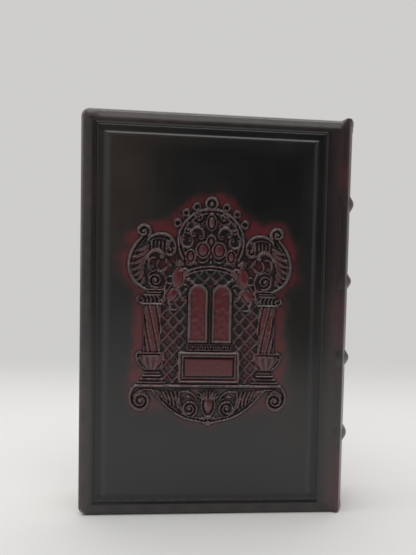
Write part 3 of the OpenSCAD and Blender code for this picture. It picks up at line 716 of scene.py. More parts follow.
def lay_plate(r):
    """The blank plate on the ledge: stepped rims round a sunk field."""
    outer = r.box((-18.3, 1.4), (18.3, 20.0))
    r.tint(outer, red=0.5, dark=0.0)
    r.plateau(outer, 1.4, 0.4)
    r.sink(outer - 1.2, 0.6, 0.35)
    r.tint(outer - 1.2, red=0.9, dark=0.1, edge=0.3)
    inner = outer - 1.9
    r.height = np.where(inner > 0, 1.25 * smoothstep(inner / 0.35), r.height)
    r.tint(inner, red=0.1, dark=0.0, edge=0.3)
    r.sink(inner - 1.0, 0.1, 0.5)
    # Painted shade all round the sunk ring inside the inner rim
    r.tint(inner - 1.0, red=0.1, dark=0.85, edge=0.2)
    field = inner - 1.9
    r.height = np.where(field > 0, 0.1 + 0.35 * smoothstep(field / 0.5), r.height)
    r.tint(field, red=1.0, dark=0.0, edge=0.4)


def lay_crown(r):
    """The closed crown: a double arch with scrolls and a jewel inside it, on a jewelled circlet."""
    centre = (0, CROWN_V)
    r.ridge(arc(centre, CROWN_R, -32, 90, 34), 1.6, 1.4)
    r.ridge(arc(centre, CROWN_R - 2.3, -26, 90, 30), 1.1, 1.15)
    for bead, ring_r in (((8.7, 105.2), 1.9), ((15.0, 101.6), 1.8), ((19.7, 95.6), 1.9)):
        r.ridge(arc(bead, ring_r, 0, 360, 18), 1.35, 1.4)
        out = np.array(bead) - centre
        out /= np.hypot(*out)
        r.ridge([bead - out * 1.4, bead - out * 3.6], (1.3, 1.6), 1.2)
    r.ridge(arc((0, 107.4), 3.3, 0, 180, 20), 1.6, 1.4)
    r.ridge(arc((0, 107.4), 3.3, -180, 0, 20), 1.6, 1.4)
    r.dome((0, 107.4), (1.5, 1.5), 1.3)
    r.ridge([(0, 103.6), (3.4, 103.4)], 1.3, 1.3)
    jewel = r.dome((0, 96.4), (2.0, 3.7), 1.2)
    r.tint(1 - jewel, red=1.0, dark=0.0, edge=0.3)
    r.ridge(oval((0, 96.4), (2.9, 4.7)), 1.0, 1.35)
    r.curl((7.4, 99.2), 2.5, 20, 420, (1.3, 0.9), 1.35)
    for k in range(3):
        r.bow((11.4 - 0.5 * k, 97.2 - 1.2 * k), (9.4, 94.8 - 1.0 * k), (6.4, 94.6 - 0.8 * k),
            (4.4, 96.6 - 1.6 * k), 0.95, 1.1)
    r.bow((10.4, 100.6), (13.2, 99.6), (14.8, 96.4), (14.4, 93.6), (1.3, 1.0), 1.2)
    r.curl((13.6, 91.6), 2.2, 60, -420, (1.2, 0.9), 1.25)
    hoop = bezier((4.6, 87.6), (3.0, 94.8), (12.4, 95.6), (11.9, 88.8), 18)
    r.ridge(hoop, (1.5, 1.7, 1.5), 1.35)
    r.curl((6.0, 87.9), 1.5, 180, 330, (0.9, 0.8), 1.3)
    r.curl((10.5, 89.4), 1.5, 0, -330, (0.9, 0.8), 1.3)
    cup = bezier((17.8, 87.6), (19.0, 80.4), (10.6, 79.6), (11.0, 85.4), 18)
    r.ridge(cup, (1.5, 1.7, 1.5), 1.35)
    r.curl((16.5, 87.0), 1.6, 10, 330, (0.9, 0.8), 1.3)
    r.curl((12.4, 86.2), 1.5, 190, -330, (0.9, 0.8), 1.3)
    r.bow((2.9, 84.6), (2.6, 88.6), (0.9, 88.8), (0, 88.8), (1.2, 1.3), 1.25)
    r.ridge([(0, 88.8), (0, 91.4)], (1.3, 0.8), 1.2)
    r.dome((0, 85.2), (1.4, 1.9), 1.1)
    for middle, radii, wide in (((4.8, 80.2), (3.9, 4.6), 1.3), ((12.0, 76.4), (2.9, 3.9), 1.15)):
        gem = r.dome(middle, (radii[0] - 1.0, radii[1] - 1.0), 0.95)
        r.tint(1 - gem, red=1.0, dark=0.0, edge=0.3)
        r.ridge(oval(middle, radii), wide, 1.35)
    r.bow((1.6, 75.6), (2.8, 71.8), (7.2, 71.8), (8.2, 75.4), (1.0, 1.2, 1.0), 1.2)
    r.bow((9.4, 73.6), (10.8, 70.8), (13.2, 70.6), (14.6, 72.6), (0.9, 1.0), 1.15, steps=12)
    for u, v in ((0, 76.4), (8.7, 77.6), (0, 73.0), (8.8, 72.4)):
        r.dome((u, v), (0.9, 1.1), 1.15)
    circlet = arc((0, 38), 32.6, 63, 90, 16)
    r.ridge(circlet, 1.4, 1.4)
    r.ridge(arc((0, 38), 30.6, 61, 90, 16), 1.2, 1.3)
    r.bow((14.6, 67.0), (16.4, 65.0), (14.8, 62.2), (12.2, 63.0), (1.4, 1.0), 1.3)


def lay_apron(r):
    """The ledge and the apron under it, with scrolled feet, two spirals and a leaf in the middle."""
    r.ridge([(0, -0.6), (43.4, -0.6)], 1.9, 1.35, fullness=0.4)
    rim = np.concatenate([bezier((34.0, -2.6), (29.0, -8.6), (24.0, -15.2), (15.0, -19.4), 16),
        bezier((15.0, -19.4), (10.4, -21.4), (5, -21.4), (0, -23.6), 10)])
    r.ridge(rim, (1.4, 1.6, 1.5), 1.4)
    r.ridge(rim[2:-2] + np.array((-1.1, 1.5)), (0.7, 0.8), 1.1)
    r.curl((11.3, -14.2), 4.9, 240, -560, (1.5, 1.1), 1.35)
    r.bow((19.6, -2.8), (20.2, -9.0), (17.4, -15.4), (11.6, -19.0), (1.1, 1.4), 1.25, steps=16)
    r.bow((16.8, -3.0), (18.4, -8.4), (16.6, -12.6), (14.6, -15.2), (1.0, 1.2), 1.2)
    r.bow((16.6, -4.2), (13.4, -3.0), (8.4, -4.2), (6.6, -9.0), (1.1, 1.4), 1.25)
    r.bow((15.2, -8.6), (13.6, -6.4), (10.2, -6.6), (8.8, -8.6), (0.8, 1.0), 1.1, steps=12)
    for k in range(6):
        share = k / 5
        root = (18.2 + 10.6 * share, -14.4 + 6.6 * share)
        tip = (20.8 + 12.4 * share, -3.4 + 0.6 * share)
        r.leaf(root, tip, 0.12, 1.9, 1.2)
    for k in range(4):
        a = math.radians(86 - 22 * k)
        r.leaf((0.3, -8.4), (0.3 + 7.2 * math.cos(a), -8.4 + 6.4 * math.sin(a)), -0.1, 1.7, 1.25)
    drop = np.hypot(r.u / 2.7, (r.v + 12.6) / 4.9) + np.clip(-(r.v + 12.6), 0, 9) * np.abs(r.u) * 0.02
    r.height = np.maximum(r.height, np.where(drop < 1, 1.3 * np.clip(1 - drop ** 2, 0, 1) ** 0.5, 0))
    r.tint(1 - drop, red=1.0, dark=0.0, edge=0.3)
    r.bow((3.2, -8.4), (5.0, -11.6), (4.2, -15.8), (1.0, -19.0), (1.0, 1.3), 1.25)
    r.dome((0, -23.2), (2.2, 1.9), 1.45)
    for k in range(3):
        r.ridge([(0.2, -18.6), (2.0 * k, -21.0 + 0.5 * k)], (0.9, 1.3), 1.25)
    r.bow((43.4, -1.0), (47.2, -4.0), (47.0, -9.4), (45.0, -12.6), (1.6, 2.0), 1.4)
    r.curl((40.2, -9.4), 5.6, -30, -560, (2.0, 1.3), 1.45)
    r.bow((34.4, -2.8), (38.4, -2.4), (42.8, -3.6), (44.6, -7.2), (1.2, 1.0), 1.2)
    r.leaf((36.6, -4.8), (42.6, -6.8), 0.3, 1.6, 1.1)
    r.bow((36.2, -12.8), (38.2, -16.0), (42.6, -16.0), (45.0, -12.6), (1.3, 1.8, 1.3), 1.3)


def blurred(field, radius, steps=3):
    """A smooth blur from repeated running means; radius is in grid steps."""
    out = field
    for _ in range(steps):
        for axis in (0, 1):
            padded = np.concatenate([np.repeat(out.take([0], axis), radius + 1, axis), out,
                np.repeat(out.take([-1], axis), radius, axis)], axis)
            total = np.cumsum(padded, axis)
            count = out.shape[axis]
            high = total.take(range(2 * radius + 1, 2 * radius + 1 + count), axis)
            out = (high - total.take(range(count), axis)) / (2 * radius + 1)
    return out


def noise_field(seed, shape, radius):
    """Seeded noise blurred over radius grid steps, with a mean of 0 and a spread of 1."""
    field = blurred(np.random.default_rng(seed).random(shape), radius)
    return (field - field.mean()) / field.std()


def emblem_relief(u, v):
    """The relief of half the emblem, laid from the ground up."""
    r = Relief(u, v)
    for lay in (lay_grounds, lay_lattice, lay_console, lay_lion, lay_column, lay_crown, lay_tablets,
            lay_plate, lay_apron):
        lay(r)
    return r


# The covers. A cover is worked out in millimetres from its lower fore-edge corner, with its
# height counted outwards from the middle of the book.

COVER_W = (COVER_RIGHT - COVER_LEFT) / MM
COVER_H = COVER_TOP / MM
FACE = HALF_T / MM
INSIDE = COVER_INSIDE / MM

# How much further in the front cover's frame lies at its left, right, tail and head
FRONT_INSETS = (0.95, 0.4, 0.0, 0.5)

# The face grid stops a margin inside the outline. From its rim the leather goes over the rolled edge,
# with rounded corners at the fore edge, and turns in; near a corner, the rim is stretched over a reach.
MARGIN = 6.6
REACH = 12.0
CORNER_R = 5.0
HALF_ARC = math.pi / 4 * CORNER_R
ROLL_W = 6.4
EDGE_R = 2.4
ROLL_POWER = 1.8
INNER_R = 0.8

# The flat slope along the head
HEAD_SLOPE_W = 5.7
HEAD_SLOPE = 0.262

# The part of the front cover that has a fine grid for the emblem
EMBLEM_HALF = 52.0
EMBLEM_BELOW = 30.0
EMBLEM_ABOVE = 115.0
EMBLEM_STEP = 0.53
EMBLEM_PEAK = 1.45

# Two places closer than this are the same, and this is further in than any place on a cover
TOUCH = 1e-4
PAST_MIDDLE = 200.0


def roll_depth(inset):
    """How far the rolled edge lies under the face at a distance in from the cover's outline."""
    share = np.clip(1 - np.asarray(inset) / ROLL_W, 0, 1)
    return EDGE_R * (1 - (1 - share ** ROLL_POWER) ** (1 / ROLL_POWER))


def head_level(place, inset):
    """Height of the face's flat slope along the head, at a distance in from the outline."""
    along_head = smoothstep((place.y - COVER_H + 7.5) / 1.0) * smoothstep((place.x - 5.0) / 6.0)
    return FACE - HEAD_SLOPE * max(HEAD_SLOPE_W - inset, 0.0) * along_head


def frame_edges():
    """Distances in from a cover's edge to the frame's creased line and to the foot of the panel."""
    foot = sizes().frame_margin / MM
    return foot, foot + sizes().channel_width / MM


def frame_places():
    """Distances from a cover's edge at which the grid has a line, fine at the tooled frame."""
    foot, rise = frame_edges()
    roll = foot + np.array([-1.2, -0.9, -0.6, -0.35, -0.15, 0.05, 0.3, 0.55, 0.8, 1.1, 2.2, 3.4])
    bevel = rise + np.array([-0.3, 0, 0.15, 0.3, 0.5, 0.7, 0.95, 1.2, 1.6, 2.1, 2.7, 3.4, 4.6])
    return np.concatenate([[MARGIN], roll, bevel])


def coarse_lines(low, high):
    """Lines about 4 mm apart between two others."""
    return np.linspace(low, high, max(2, int(round((high - low) / 4.0)) + 1))[1:-1]


def cover_lines(length, low, high, step, insets=(0, 0)):
    """Grid lines over a cover's length: the frame's, fine ones from low to high, coarse ones between."""
    edge = frame_places()
    first, last = edge.copy(), edge.copy()
    first[1:] += insets[0]
    last[1:] += insets[1]
    last = (length - last)[::-1]
    fine = np.linspace(low, high, int(round((high - low) / step)) + 1)
    return np.concatenate([first, coarse_lines(first[-1], low), fine, coarse_lines(high, last[0]), last])


def frame_profile(gap, side):
    """Height of the face at a distance from the edge: crease, sloping channel, bevel and panel.

    The bevel is softer at a side than at an end.
    """
    foot, rise = frame_edges()
    depth = sizes().crease_depth / MM
    panel = sizes().panel_rise / MM
    crease_at = foot + np.array([-1.2, -1.05, -0.9, -0.6, -0.35, -0.15, 0.05, 0.3, 0.55, 0.8, 1.1])
    crease = (0, -0.03, -0.1, -0.22, -0.34, -0.46, -depth, -depth, -0.38, -0.26, -0.24)
    bevel_at = rise + np.array([-0.3, 0, 0.15, 0.3, 0.5, 0.7, 0.95, 1.2, 1.6, 2.1, 2.7, 3.4])
    sharp = (-0.2, -0.16, -0.06, 0.1, 0.24, 0.34, 0.42, 0.47, 0.52, 0.56, 0.585, panel)
    soft = (-0.2, -0.16, -0.15, -0.13, -0.11, -0.08, -0.04, 0.02, 0.14, 0.3, 0.47, panel - 0.02)
    places = np.concatenate([[0], crease_at, bevel_at, [PAST_MIDDLE]])
    levels = np.concatenate([[0], crease, soft if side else sharp, [panel]])
    return FACE + np.interp(gap, places, levels)


def frame_height(across, along):
    """Height of a cover's face, with a softer bevel at the panel's sides and mitred corners."""
    gap = np.minimum(across, along)
    at_end = smoothstep((across - along) / 2.0 + 0.5)
    height = frame_profile(gap, True) * (1 - at_end) + frame_profile(gap, False) * at_end
    return height - 0.14 * mitre(across, along)


def mitre(across, along):
    """Share of the fine line that runs across the channel at each corner of the frame."""
    foot, rise = frame_edges()
    gap = np.minimum(across, along)
    within = smoothstep((gap - foot - 0.4) / 0.6) * smoothstep((rise + 0.4 - gap) / 0.6)
    return np.exp(-((across - along) / 0.4) ** 2) * within


def square_outline(run):
    """How far along the outline from a square corner a run along the grid's rim comes."""
    return run * (REACH + MARGIN) / REACH if run < REACH else run + MARGIN


def rounded_outline(run, end, way):
    """Place and way out at a run along the grid's rim from the middle of a rounded corner.

    end is 1 at the head and -1 at the tail; way is 1 along that end and -1 down the fore edge.
    """
    edge = COVER_H if end > 0 else 0.0
    length = run + MARGIN - CORNER_R + HALF_ARC
    if run < REACH:
        length = run * (HALF_ARC + REACH + MARGIN - CORNER_R) / REACH
    if length < HALF_ARC:
        a = math.radians(45) + way * length / CORNER_R
        out = Vector((-math.cos(a), end * math.sin(a)))
        return Vector((CORNER_R, edge - end * CORNER_R)) + out * CORNER_R, out
    past = CORNER_R + length - HALF_ARC
    if way > 0:
        return Vector((past, edge)), Vector((0, end))
    return Vector((0.0, edge - end * past)), Vector((-1, 0))


def rim_place(point, low, high):
    """Where a point of the face grid's rim goes on the cover's outline, and which way is out."""
    x, z = point
    end = 1 if z > (low[1] + high[1]) / 2 else -1
    edge = COVER_H if end > 0 else 0.0
    from_end = high[1] - z if end > 0 else z - low[1]
    from_fore, from_joint = x - low[0], high[0] - x
    if from_end < TOUCH and from_joint < REACH:
        return Vector((COVER_W - square_outline(from_joint), edge)), Vector((0, end))
    if from_end < TOUCH:
        return rounded_outline(from_fore, end, 1)
    if from_fore < TOUCH:
        return rounded_outline(from_end, end, -1)
    return Vector((COVER_W, edge - end * square_outline(from_end))), Vector((0, 0))


def cover_shell(name, body, node, side, x_lines, z_lines, height, attributes):
    """One cover's leather: the tooled face as a fine grid, drawn over the edges to the inside."""
    rows, columns = height.shape
    bm = grid_mesh(columns, rows)
    xs, zs = np.meshgrid(x_lines, z_lines)
    place_grid(bm, np.stack([xs, zs, height], 2))
    low, high = (x_lines[0], z_lines[0]), (x_lines[-1], z_lines[-1])
    place_layer = bm.verts.layers.float_vector.new("rim_place")
    out_layer = bm.verts.layers.float_vector.new("rim_out")
    rim = [edge for edge in bm.edges if edge.is_boundary]
    for vertex in {v for edge in rim for v in edge.verts}:
        place, out = rim_place((vertex.co.x, vertex.co.y), low, high)
        vertex[place_layer] = place.to_3d()
        vertex[out_layer] = out.to_3d()
    turns = np.radians(np.linspace(0, 90, 12))
    insets = [ROLL_W * (1 - math.sin(a) ** (2 / ROLL_POWER)) for a in turns]
    rings = [(inset, FACE - float(roll_depth(inset))) for inset in insets]
    rings += [(INNER_R * (1 - math.cos(a)), INSIDE + INNER_R * (1 - math.sin(a))) for a in turns[::2]]
    for inset, level in rings:
        drawn = bmesh.ops.extrude_edge_only(bm, edges=rim)["geom"]
        for vertex in (item for item in drawn if isinstance(item, bmesh.types.BMVert)):
            out = vertex[out_layer]
            place = vertex[place_layer] - out * inset
            if out.length < 0.5:
                place.y = min(max(place.y, inset), COVER_H - inset)
            on_roll = level > FACE - EDGE_R
            vertex.co = (place.x, place.y, min(level, head_level(place, inset)) if on_roll else level)
        rim = [item for item in drawn if isinstance(item, bmesh.types.BMEdge) and item.is_boundary]
    bmesh.ops.contextual_create(bm, geom=rim)
    for key in ("rim_place", "rim_out"):
        bm.verts.layers.float_vector.remove(bm.verts.layers.float_vector[key])
    to_place = Matrix(((MM, 0, 0, COVER_LEFT), (0, 0, side * MM, MID_Y), (0, MM, 0, 0), (0, 0, 0, 1)))
    bmesh.ops.transform(bm, matrix=to_place, verts=bm.verts)
    bm.verts.ensure_lookup_table()
    edge_wear = edge_shares(bm, rows * columns)
    full = {key: np.concatenate([values.ravel(), edge_wear[key]]) for key, values in attributes.items()}
    return finish_piece(bm, name, body, "antiqued_leather", [node], attributes=full)


def edge_shares(bm, first):
    """Red, dark, rub and brown shares of the vertices past the face grid, on edges and turn-ins; the rub
    there is worn leather, with painted highlights on the rolled edges and by the joint.
    """
    x, y, zs = (np.array([vertex.co[:] for vertex in bm.verts[first:]]) / MM).T
    xs = x - COVER_LEFT / MM
    patch = 0.5 + 0.5 * np.sin(x * 0.35 + 1.3 * np.sin(zs * 0.21)) * np.sin(zs * 0.43)
    outer = smoothstep((np.abs(y - MID_Y / MM) - FACE + EDGE_R) / EDGE_R)
    at_joint = smoothstep((xs - COVER_W + 1.0) / 0.8) * outer
    # Worn edges, with the painted highlight and reflection of the rolled edges, and worn leather with a
    # painted highlight by the joint
    rubbed = np.maximum((0.05 + 0.2 * patch) * outer, roll_wear_and_highlight(xs, zs) * smoothstep(outer / 0.6))
    rubbed = np.maximum(rubbed, 0.27 * at_joint)
    red = (0.08 + 0.34 * spine_wear(zs) ** 1.5) * at_joint
    return {"red": red, "dark": np.zeros(len(zs)), "rub": rubbed, "brown": warm_stains(xs, zs) * outer}


def roll_wear_and_highlight(xs, zs):
    """Wear and painted light on the rolled edges: worn leather with a painted highlight all along the head,
    and worn leather down the fore edge that grows into a painted reflection of the floor over its lower half.
    """
    streaks = 0.75 + 0.25 * np.sin(xs * 0.31 + 1.7 * np.sin(xs * 0.13)) * np.sin(zs * 0.27 + 0.8)
    at_head = smoothstep((zs - COVER_H + 8.5) / 1.5)
    at_side = smoothstep((8.5 - xs) / 1.5) * (0.06 + 0.3 * smoothstep((150 - zs) / 80))
    return np.clip(0.26 * at_head + at_side * (1 - at_head), 0, 1) * streaks


def frame_shares(xs, zs, across, along):
    """Red, dark, rub and brown shares that follow the tooled frame and the rolled edge: painted shade in the
    crease, along the channel and in the mitre lines, painted highlights on the bevel and along the crease at
    the tail, and worn leather with a painted highlight on the roll.
    """
    gap = np.minimum(across, along)
    foot, rise = frame_edges()
    crease = np.exp(-((gap - foot - 0.1) / 0.45) ** 2)
    bevel = np.exp(-((gap - rise - 0.8) / 0.5) ** 2)
    channel = smoothstep((gap - foot) / 0.3) * smoothstep((rise - gap) / 0.5)
    at_foot = np.exp(-((zs - foot - 1.0) / 0.4) ** 2) * (gap > zs - 0.01)
    patchy = 0.5 + 0.3 * np.sin(xs * 0.7 + 2.0 * np.sin(xs * 0.23)) + 0.2 * np.sin(xs * 1.9)
    # Painted highlights on the bevel and, dotted, along the crease at the tail, with the roll's wear and
    # painted highlight
    rub = 0.1 * bevel + 0.55 * at_foot * patchy + roll_wear_and_highlight(xs, zs) * smoothstep((foot - 0.6 - gap) / 1.2)
    # Painted shade in the crease, along the channel and in the mitre lines
    dark = np.clip(0.6 * crease + 0.45 * channel + 0.5 * mitre(across, along), 0, 0.9)
    return {"red": np.zeros(gap.shape), "dark": dark, "rub": rub, "brown": np.zeros(gap.shape)}


def edge_gaps(xs, zs, insets):
    """Distances to the nearest side and to the nearest end of a cover, less the frame's insets there."""
    left, right, tail, head = insets
    return np.minimum(xs - left, COVER_W - xs - right), np.minimum(zs - tail, COVER_H - zs - head)


def warm_stains(xs, zs):
    """Two places on the panel where the dye is thinner and looks brown."""
    upper = np.exp(-((xs - 24) / 26) ** 2 - ((zs - 204) / 44) ** 2)
    lower = np.exp(-((xs - 124) / 14) ** 2 - ((zs - 98) / 40) ** 2)
    return np.clip(0.9 * upper + lower, 0, 1)


def painted_dark_reflection(xs, zs, panel):
    """Painted shade for the dark room that the panel reflects: a deeper, less glossy dark share over the head
    half of the panel and down its right side.
    """
    side = 0.75 * np.exp(-((xs - 133) / 19) ** 2 - ((zs - 112) / 36) ** 2)
    return np.maximum(side, 0.55 * smoothstep((zs - 115) / 60) * panel * (1 - warm_stains(xs, zs)))


def wear_at_joint(shares, xs, zs):
    """Adds the strip beside the joint to a cover's shares: red showing through, and rubbed leather with a
    painted highlight.
    """
    to_joint = smoothstep((xs - COVER_W + 8.5) / 6.0)
    shares["red"] = np.maximum(shares["red"], (0.08 + 0.45 * spine_wear(zs) ** 1.5) * to_joint ** 2)
    shares["rub"] = np.maximum(shares["rub"], 0.17 * to_joint)


def whole_emblem(x_lines, z_lines):
    """The emblem's heights and its red, dark and cut shares over a cover's grid: half of it, mirrored."""
    from_middle = x_lines - COVER_W / 2
    across = (np.abs(from_middle) <= EMBLEM_HALF + TOUCH).sum()
    half = np.linspace(0.0, EMBLEM_HALF, across // 2 + 1)
    relief = emblem_relief(half, z_lines - LEDGE_Z)
    past = ((from_middle < -EMBLEM_HALF - TOUCH).sum(), (from_middle > EMBLEM_HALF + TOUCH).sum())
    return [np.pad(np.concatenate([values[:, :0:-1], values], 1), ((0, 0), past))
        for values in (relief.height, relief.red, relief.dark, relief.cut)]


def panel_halo(v, near, far, cloud):
    """Red that shows through the panel's dye round the emblem, weaker round its foot."""
    reach = 0.55 + 0.45 * smoothstep((v + 16) / 22)
    upper = smoothstep((v - 50) / 28)
    wide = smoothstep((far * (1 + 0.1 * cloud) - 0.045 + 0.012 * upper) / (0.36 - 0.06 * upper)) * reach
    close = 0.8 * smoothstep((near - 0.03) / 0.4) * (0.8 + 0.2 * reach)
    outside = smoothstep((0.62 - near) / 0.3)
    return np.clip(np.maximum(wide, close) * (1 + 0.08 * cloud), 0, 1) * outside


def colour_shade_and_highlight_emblem(shares, v, panel, raised, rough, red, dark, cut):
    """Adds the emblem's red ground, its dark hollows (black dye left in them, with painted shade) and its
    crests (rubbed, with a painted highlight) to the front cover's shares.
    """
    soft = blurred(raised, 1)
    cloud = noise_field(3, raised.shape, 3)
    solid = (raised > 0.1).astype(float)
    halo = panel_halo(v, blurred(solid, 4), blurred(solid, 12), cloud) * panel
    glimpse = smoothstep((cloud - 0.1) / 1.0)
    apron = smoothstep((2 - v) / 4)

    # Painted shade in the hollow beside each ridge, where the blurred height stands over the height
    beside = 3.5 * np.clip(soft - raised - 0.02, 0, 1) * (1 + 0.15 * rough)
    # The grounds' dark in low places: black dye left there, with painted shade
    hollow = dark * (1.15 + 0.25 * cloud) * smoothstep((0.75 - raised) / 0.4) * (1 - 0.6 * glimpse)
    hollow_dye_and_shade = np.maximum(shares["dark"], (hollow + beside) * (1 - 0.35 * apron))
    shares["dark"] = np.clip(np.maximum(hollow_dye_and_shade, cut), 0, 0.95)

    # Rubbed crests with a painted highlight along the top of each ridge
    crest_rub_and_highlight = smoothstep((raised - soft - 0.05) / 0.16) * smoothstep((raised - 0.6) / 0.5)
    shares["rub"] = np.maximum(shares["rub"], 0.85 * crest_rub_and_highlight * (1 + 0.2 * rough) * (1 + 0.15 * apron))

    top = smoothstep((raised - 0.9) / 0.35) * (red < 0.8)
    inner = smoothstep((blurred(solid, 5) - 0.5) / 0.25)
    under = 0.95 * (1 + 0.3 * cloud) * smoothstep((raised - 0.15) / 0.3) * inner
    under = np.maximum(under, 0.95 * glimpse * inner)
    ground = np.maximum.reduce([shares["red"], red, halo]) * (1 - 0.6 * top)
    shares["red"] = np.clip(np.maximum(ground, under) * (1 + 0.07 * rough), 0, 1)


def make_front_cover():
    """The front cover's leather with the frame, the panel and the embossed emblem."""
    middle = COVER_W / 2
    foot, top = LEDGE_Z - EMBLEM_BELOW, LEDGE_Z + EMBLEM_ABOVE
    x_lines = cover_lines(COVER_W, middle - EMBLEM_HALF, middle + EMBLEM_HALF, EMBLEM_STEP, FRONT_INSETS[:2])
    z_lines = cover_lines(COVER_H, foot, top, EMBLEM_STEP, FRONT_INSETS[2:])
    xs, zs = np.meshgrid(x_lines, z_lines)
    across, along = edge_gaps(xs, zs, FRONT_INSETS)
    panel = smoothstep((np.minimum(across, along) - 16) / 8)
    rise = sizes().emblem_rise / MM
    relief, red, dark, cut = whole_emblem(x_lines, z_lines)
    rough = noise_field(11, relief.shape, 1)
    raised = np.clip(relief, 0, EMBLEM_PEAK) * rise / EMBLEM_PEAK
    raised = np.clip(raised * (1 + 0.045 * rough), 0, rise)
    shares = frame_shares(xs, zs, across, along)
    wear_at_joint(shares, xs, zs)
    colour_shade_and_highlight_emblem(shares, zs - LEDGE_Z, panel, raised, rough, red, dark, cut)
    clear_of_red = 1 - np.clip(shares["red"] * 2, 0, 1)
    # Painted shade over the head half of the panel and down its right side, kept off the red
    shares["dark"] = np.maximum(shares["dark"], painted_dark_reflection(xs, zs, panel) * clear_of_red)
    shares["brown"] = warm_stains(xs, zs)
    height = frame_height(across, along) + raised
    return cover_shell("front_cover_leather", "front_cover", "front_leather", -1, x_lines, z_lines,
        height, shares)


def make_rear_cover():
    """The rear cover's leather, with the same frame and a plain panel."""
    x_lines = cover_lines(COVER_W, 30.0, COVER_W - 30.0, 4.0)
    z_lines = cover_lines(COVER_H, 30.0, COVER_H - 30.0, 4.0)
    xs, zs = np.meshgrid(x_lines, z_lines)
    across, along = edge_gaps(xs, zs, (0, 0, 0, 0))
    return cover_shell("rear_cover_leather", "rear_cover", "rear_leather", 1, x_lines, z_lines,
        frame_height(across, along), frame_shares(xs, zs, across, along))


# The spine and its joints

CORD_Z = [BAND_PITCH / MM * (k + 1) for k in range(BAND_COUNT)]
BAND_W = 10.0
SHOULDER = (SHOULDER_X - COVER_LEFT) / MM
SPINE_RISE = 7.5
SPINE_R = (FACE ** 2 + SPINE_RISE ** 2) / (2 * SPINE_RISE)
SPINE_AXIS = SHOULDER + SPINE_RISE - SPINE_R
STRIP_W = SHOULDER - COVER_W

# The spine's skin: places across it, and the height of its edges at head and tail
SPINE_COLUMNS = 97
END_R = 1.8

# The turned-in leather at tail and head, from the inside out: its share of the full depth, and how far it
# lies from that end
TAIL_TURN_IN = ((0.0, 1.3), (1.0, 1.0), (1.0, 0.45), (0.93, 0.12), (0.75, 0.0))
HEAD_TURN_IN = ((0.0, 2.4), (1.0, 1.6), (1.0, 0.5), (0.93, 0.12), (0.75, 0.0))


def spine_wear(z):
    """How far the red shows through the dye at a height up the spine, worn in three long patches."""
    return np.interp(z, (0, 12, 36, 50, 64, 96, 110, 132, 142, 160, 188, 198, 212, 222, 240),
        (0.9, 1.0, 0.9, 0.45, 0.3, 0.35, 0.85, 0.8, 0.4, 0.12, 0.2, 0.8, 0.9, 0.35, 0.5))


def round_depth(inset, radius):
    """How far a rounded edge lies under its face at a distance in from its end."""
    return radius - np.sqrt(np.maximum(radius ** 2 - np.maximum(radius - inset, 0) ** 2, 0))


def spine_plan(count):
    """Points across the spine from the front shoulder to the rear one, in millimetres."""
    turn = math.radians(30)
    start = (SPINE_AXIS + SPINE_R * math.cos(turn), SPINE_R * math.sin(turn))
    shoulder = bezier((SHOULDER, FACE - 0.05), (SHOULDER + 1.5, FACE - 0.15),
        (start[0] - 1.6 * math.sin(turn), start[1] + 1.6 * math.cos(turn)), start, 30)
    back = arc((SPINE_AXIS, 0), SPINE_R, 30, -30, 90)
    path = np.concatenate([shoulder[:-1], back, (shoulder * (1, -1))[-2::-1]])
    steps = np.concatenate([[0], np.cumsum(np.hypot(*np.diff(path, axis=0).T))])
    wanted = np.linspace(0, steps[-1], count)
    points = np.stack([np.interp(wanted, steps, path[:, 0]), np.interp(wanted, steps, path[:, 1])], 1)
    return points, wanted, steps[-1]


def band_shape(z):
    """Share of a band's height at a height up the spine, and how near its foot is."""
    rise = np.zeros(np.shape(z))
    foot = np.zeros(np.shape(z))
    for middle in CORD_Z:
        off = np.abs(z - middle) / (BAND_W / 2)
        rise = np.maximum(rise, np.cos(np.minimum(off, 1) * math.pi / 2) ** 1.3)
        foot = np.maximum(foot, np.exp(-((off - 1.12) / 0.16) ** 2))
    return rise, foot


def band_fade(run):
    """How much of a band's height is left at a run of millimetres past the spine's shoulder."""
    return 0.04 + 0.96 * smoothstep((run - 2.2) / 9.6)


def cap_curve(x):
    """How far the head stands over the covers at a place across, rising from the joint to the cap."""
    return sizes().cap_rise / MM * smoothstep((x - COVER_W + 0.3) / 5.0)


def near_head(z):
    """Share of the head cap's rise that the leather has taken up at a height."""
    return smoothstep((z - COVER_H + 16) / 16)


def spine_rows():
    """Heights up the outside of the spine, fine at the bands."""
    rows = [np.linspace(END_R, COVER_H - END_R, 120)]
    for middle in CORD_Z:
        rows.append(middle + np.linspace(-7, 7, 43))
    return np.unique(np.round(np.concatenate(rows), 3))


def spine_section():
    """The skin's rows from the tail's turn-in up the outside and into the head's turn-in.

    A row has its share of the turn-in's depth, or None on the outside, how near it is to an end, its height
    from the tail or its depth below the head, and whether that is measured from the head.
    """
    edge = [END_R * (1 - math.cos(a)) for a in np.radians(np.linspace(0, 90, 8))]
    rows = [(share, 0.0, z, False) for share, z in TAIL_TURN_IN]
    rows += [(None, z, z, False) for z in edge]
    rows += [(None, min(z, COVER_H - z), z, False) for z in spine_rows()[1:-1]]
    rows += [(None, 0.0, z, True) for z in edge[::-1]]
    rows += [(share, 0.0, z, True) for share, z in HEAD_TURN_IN[::-1]]
    return rows


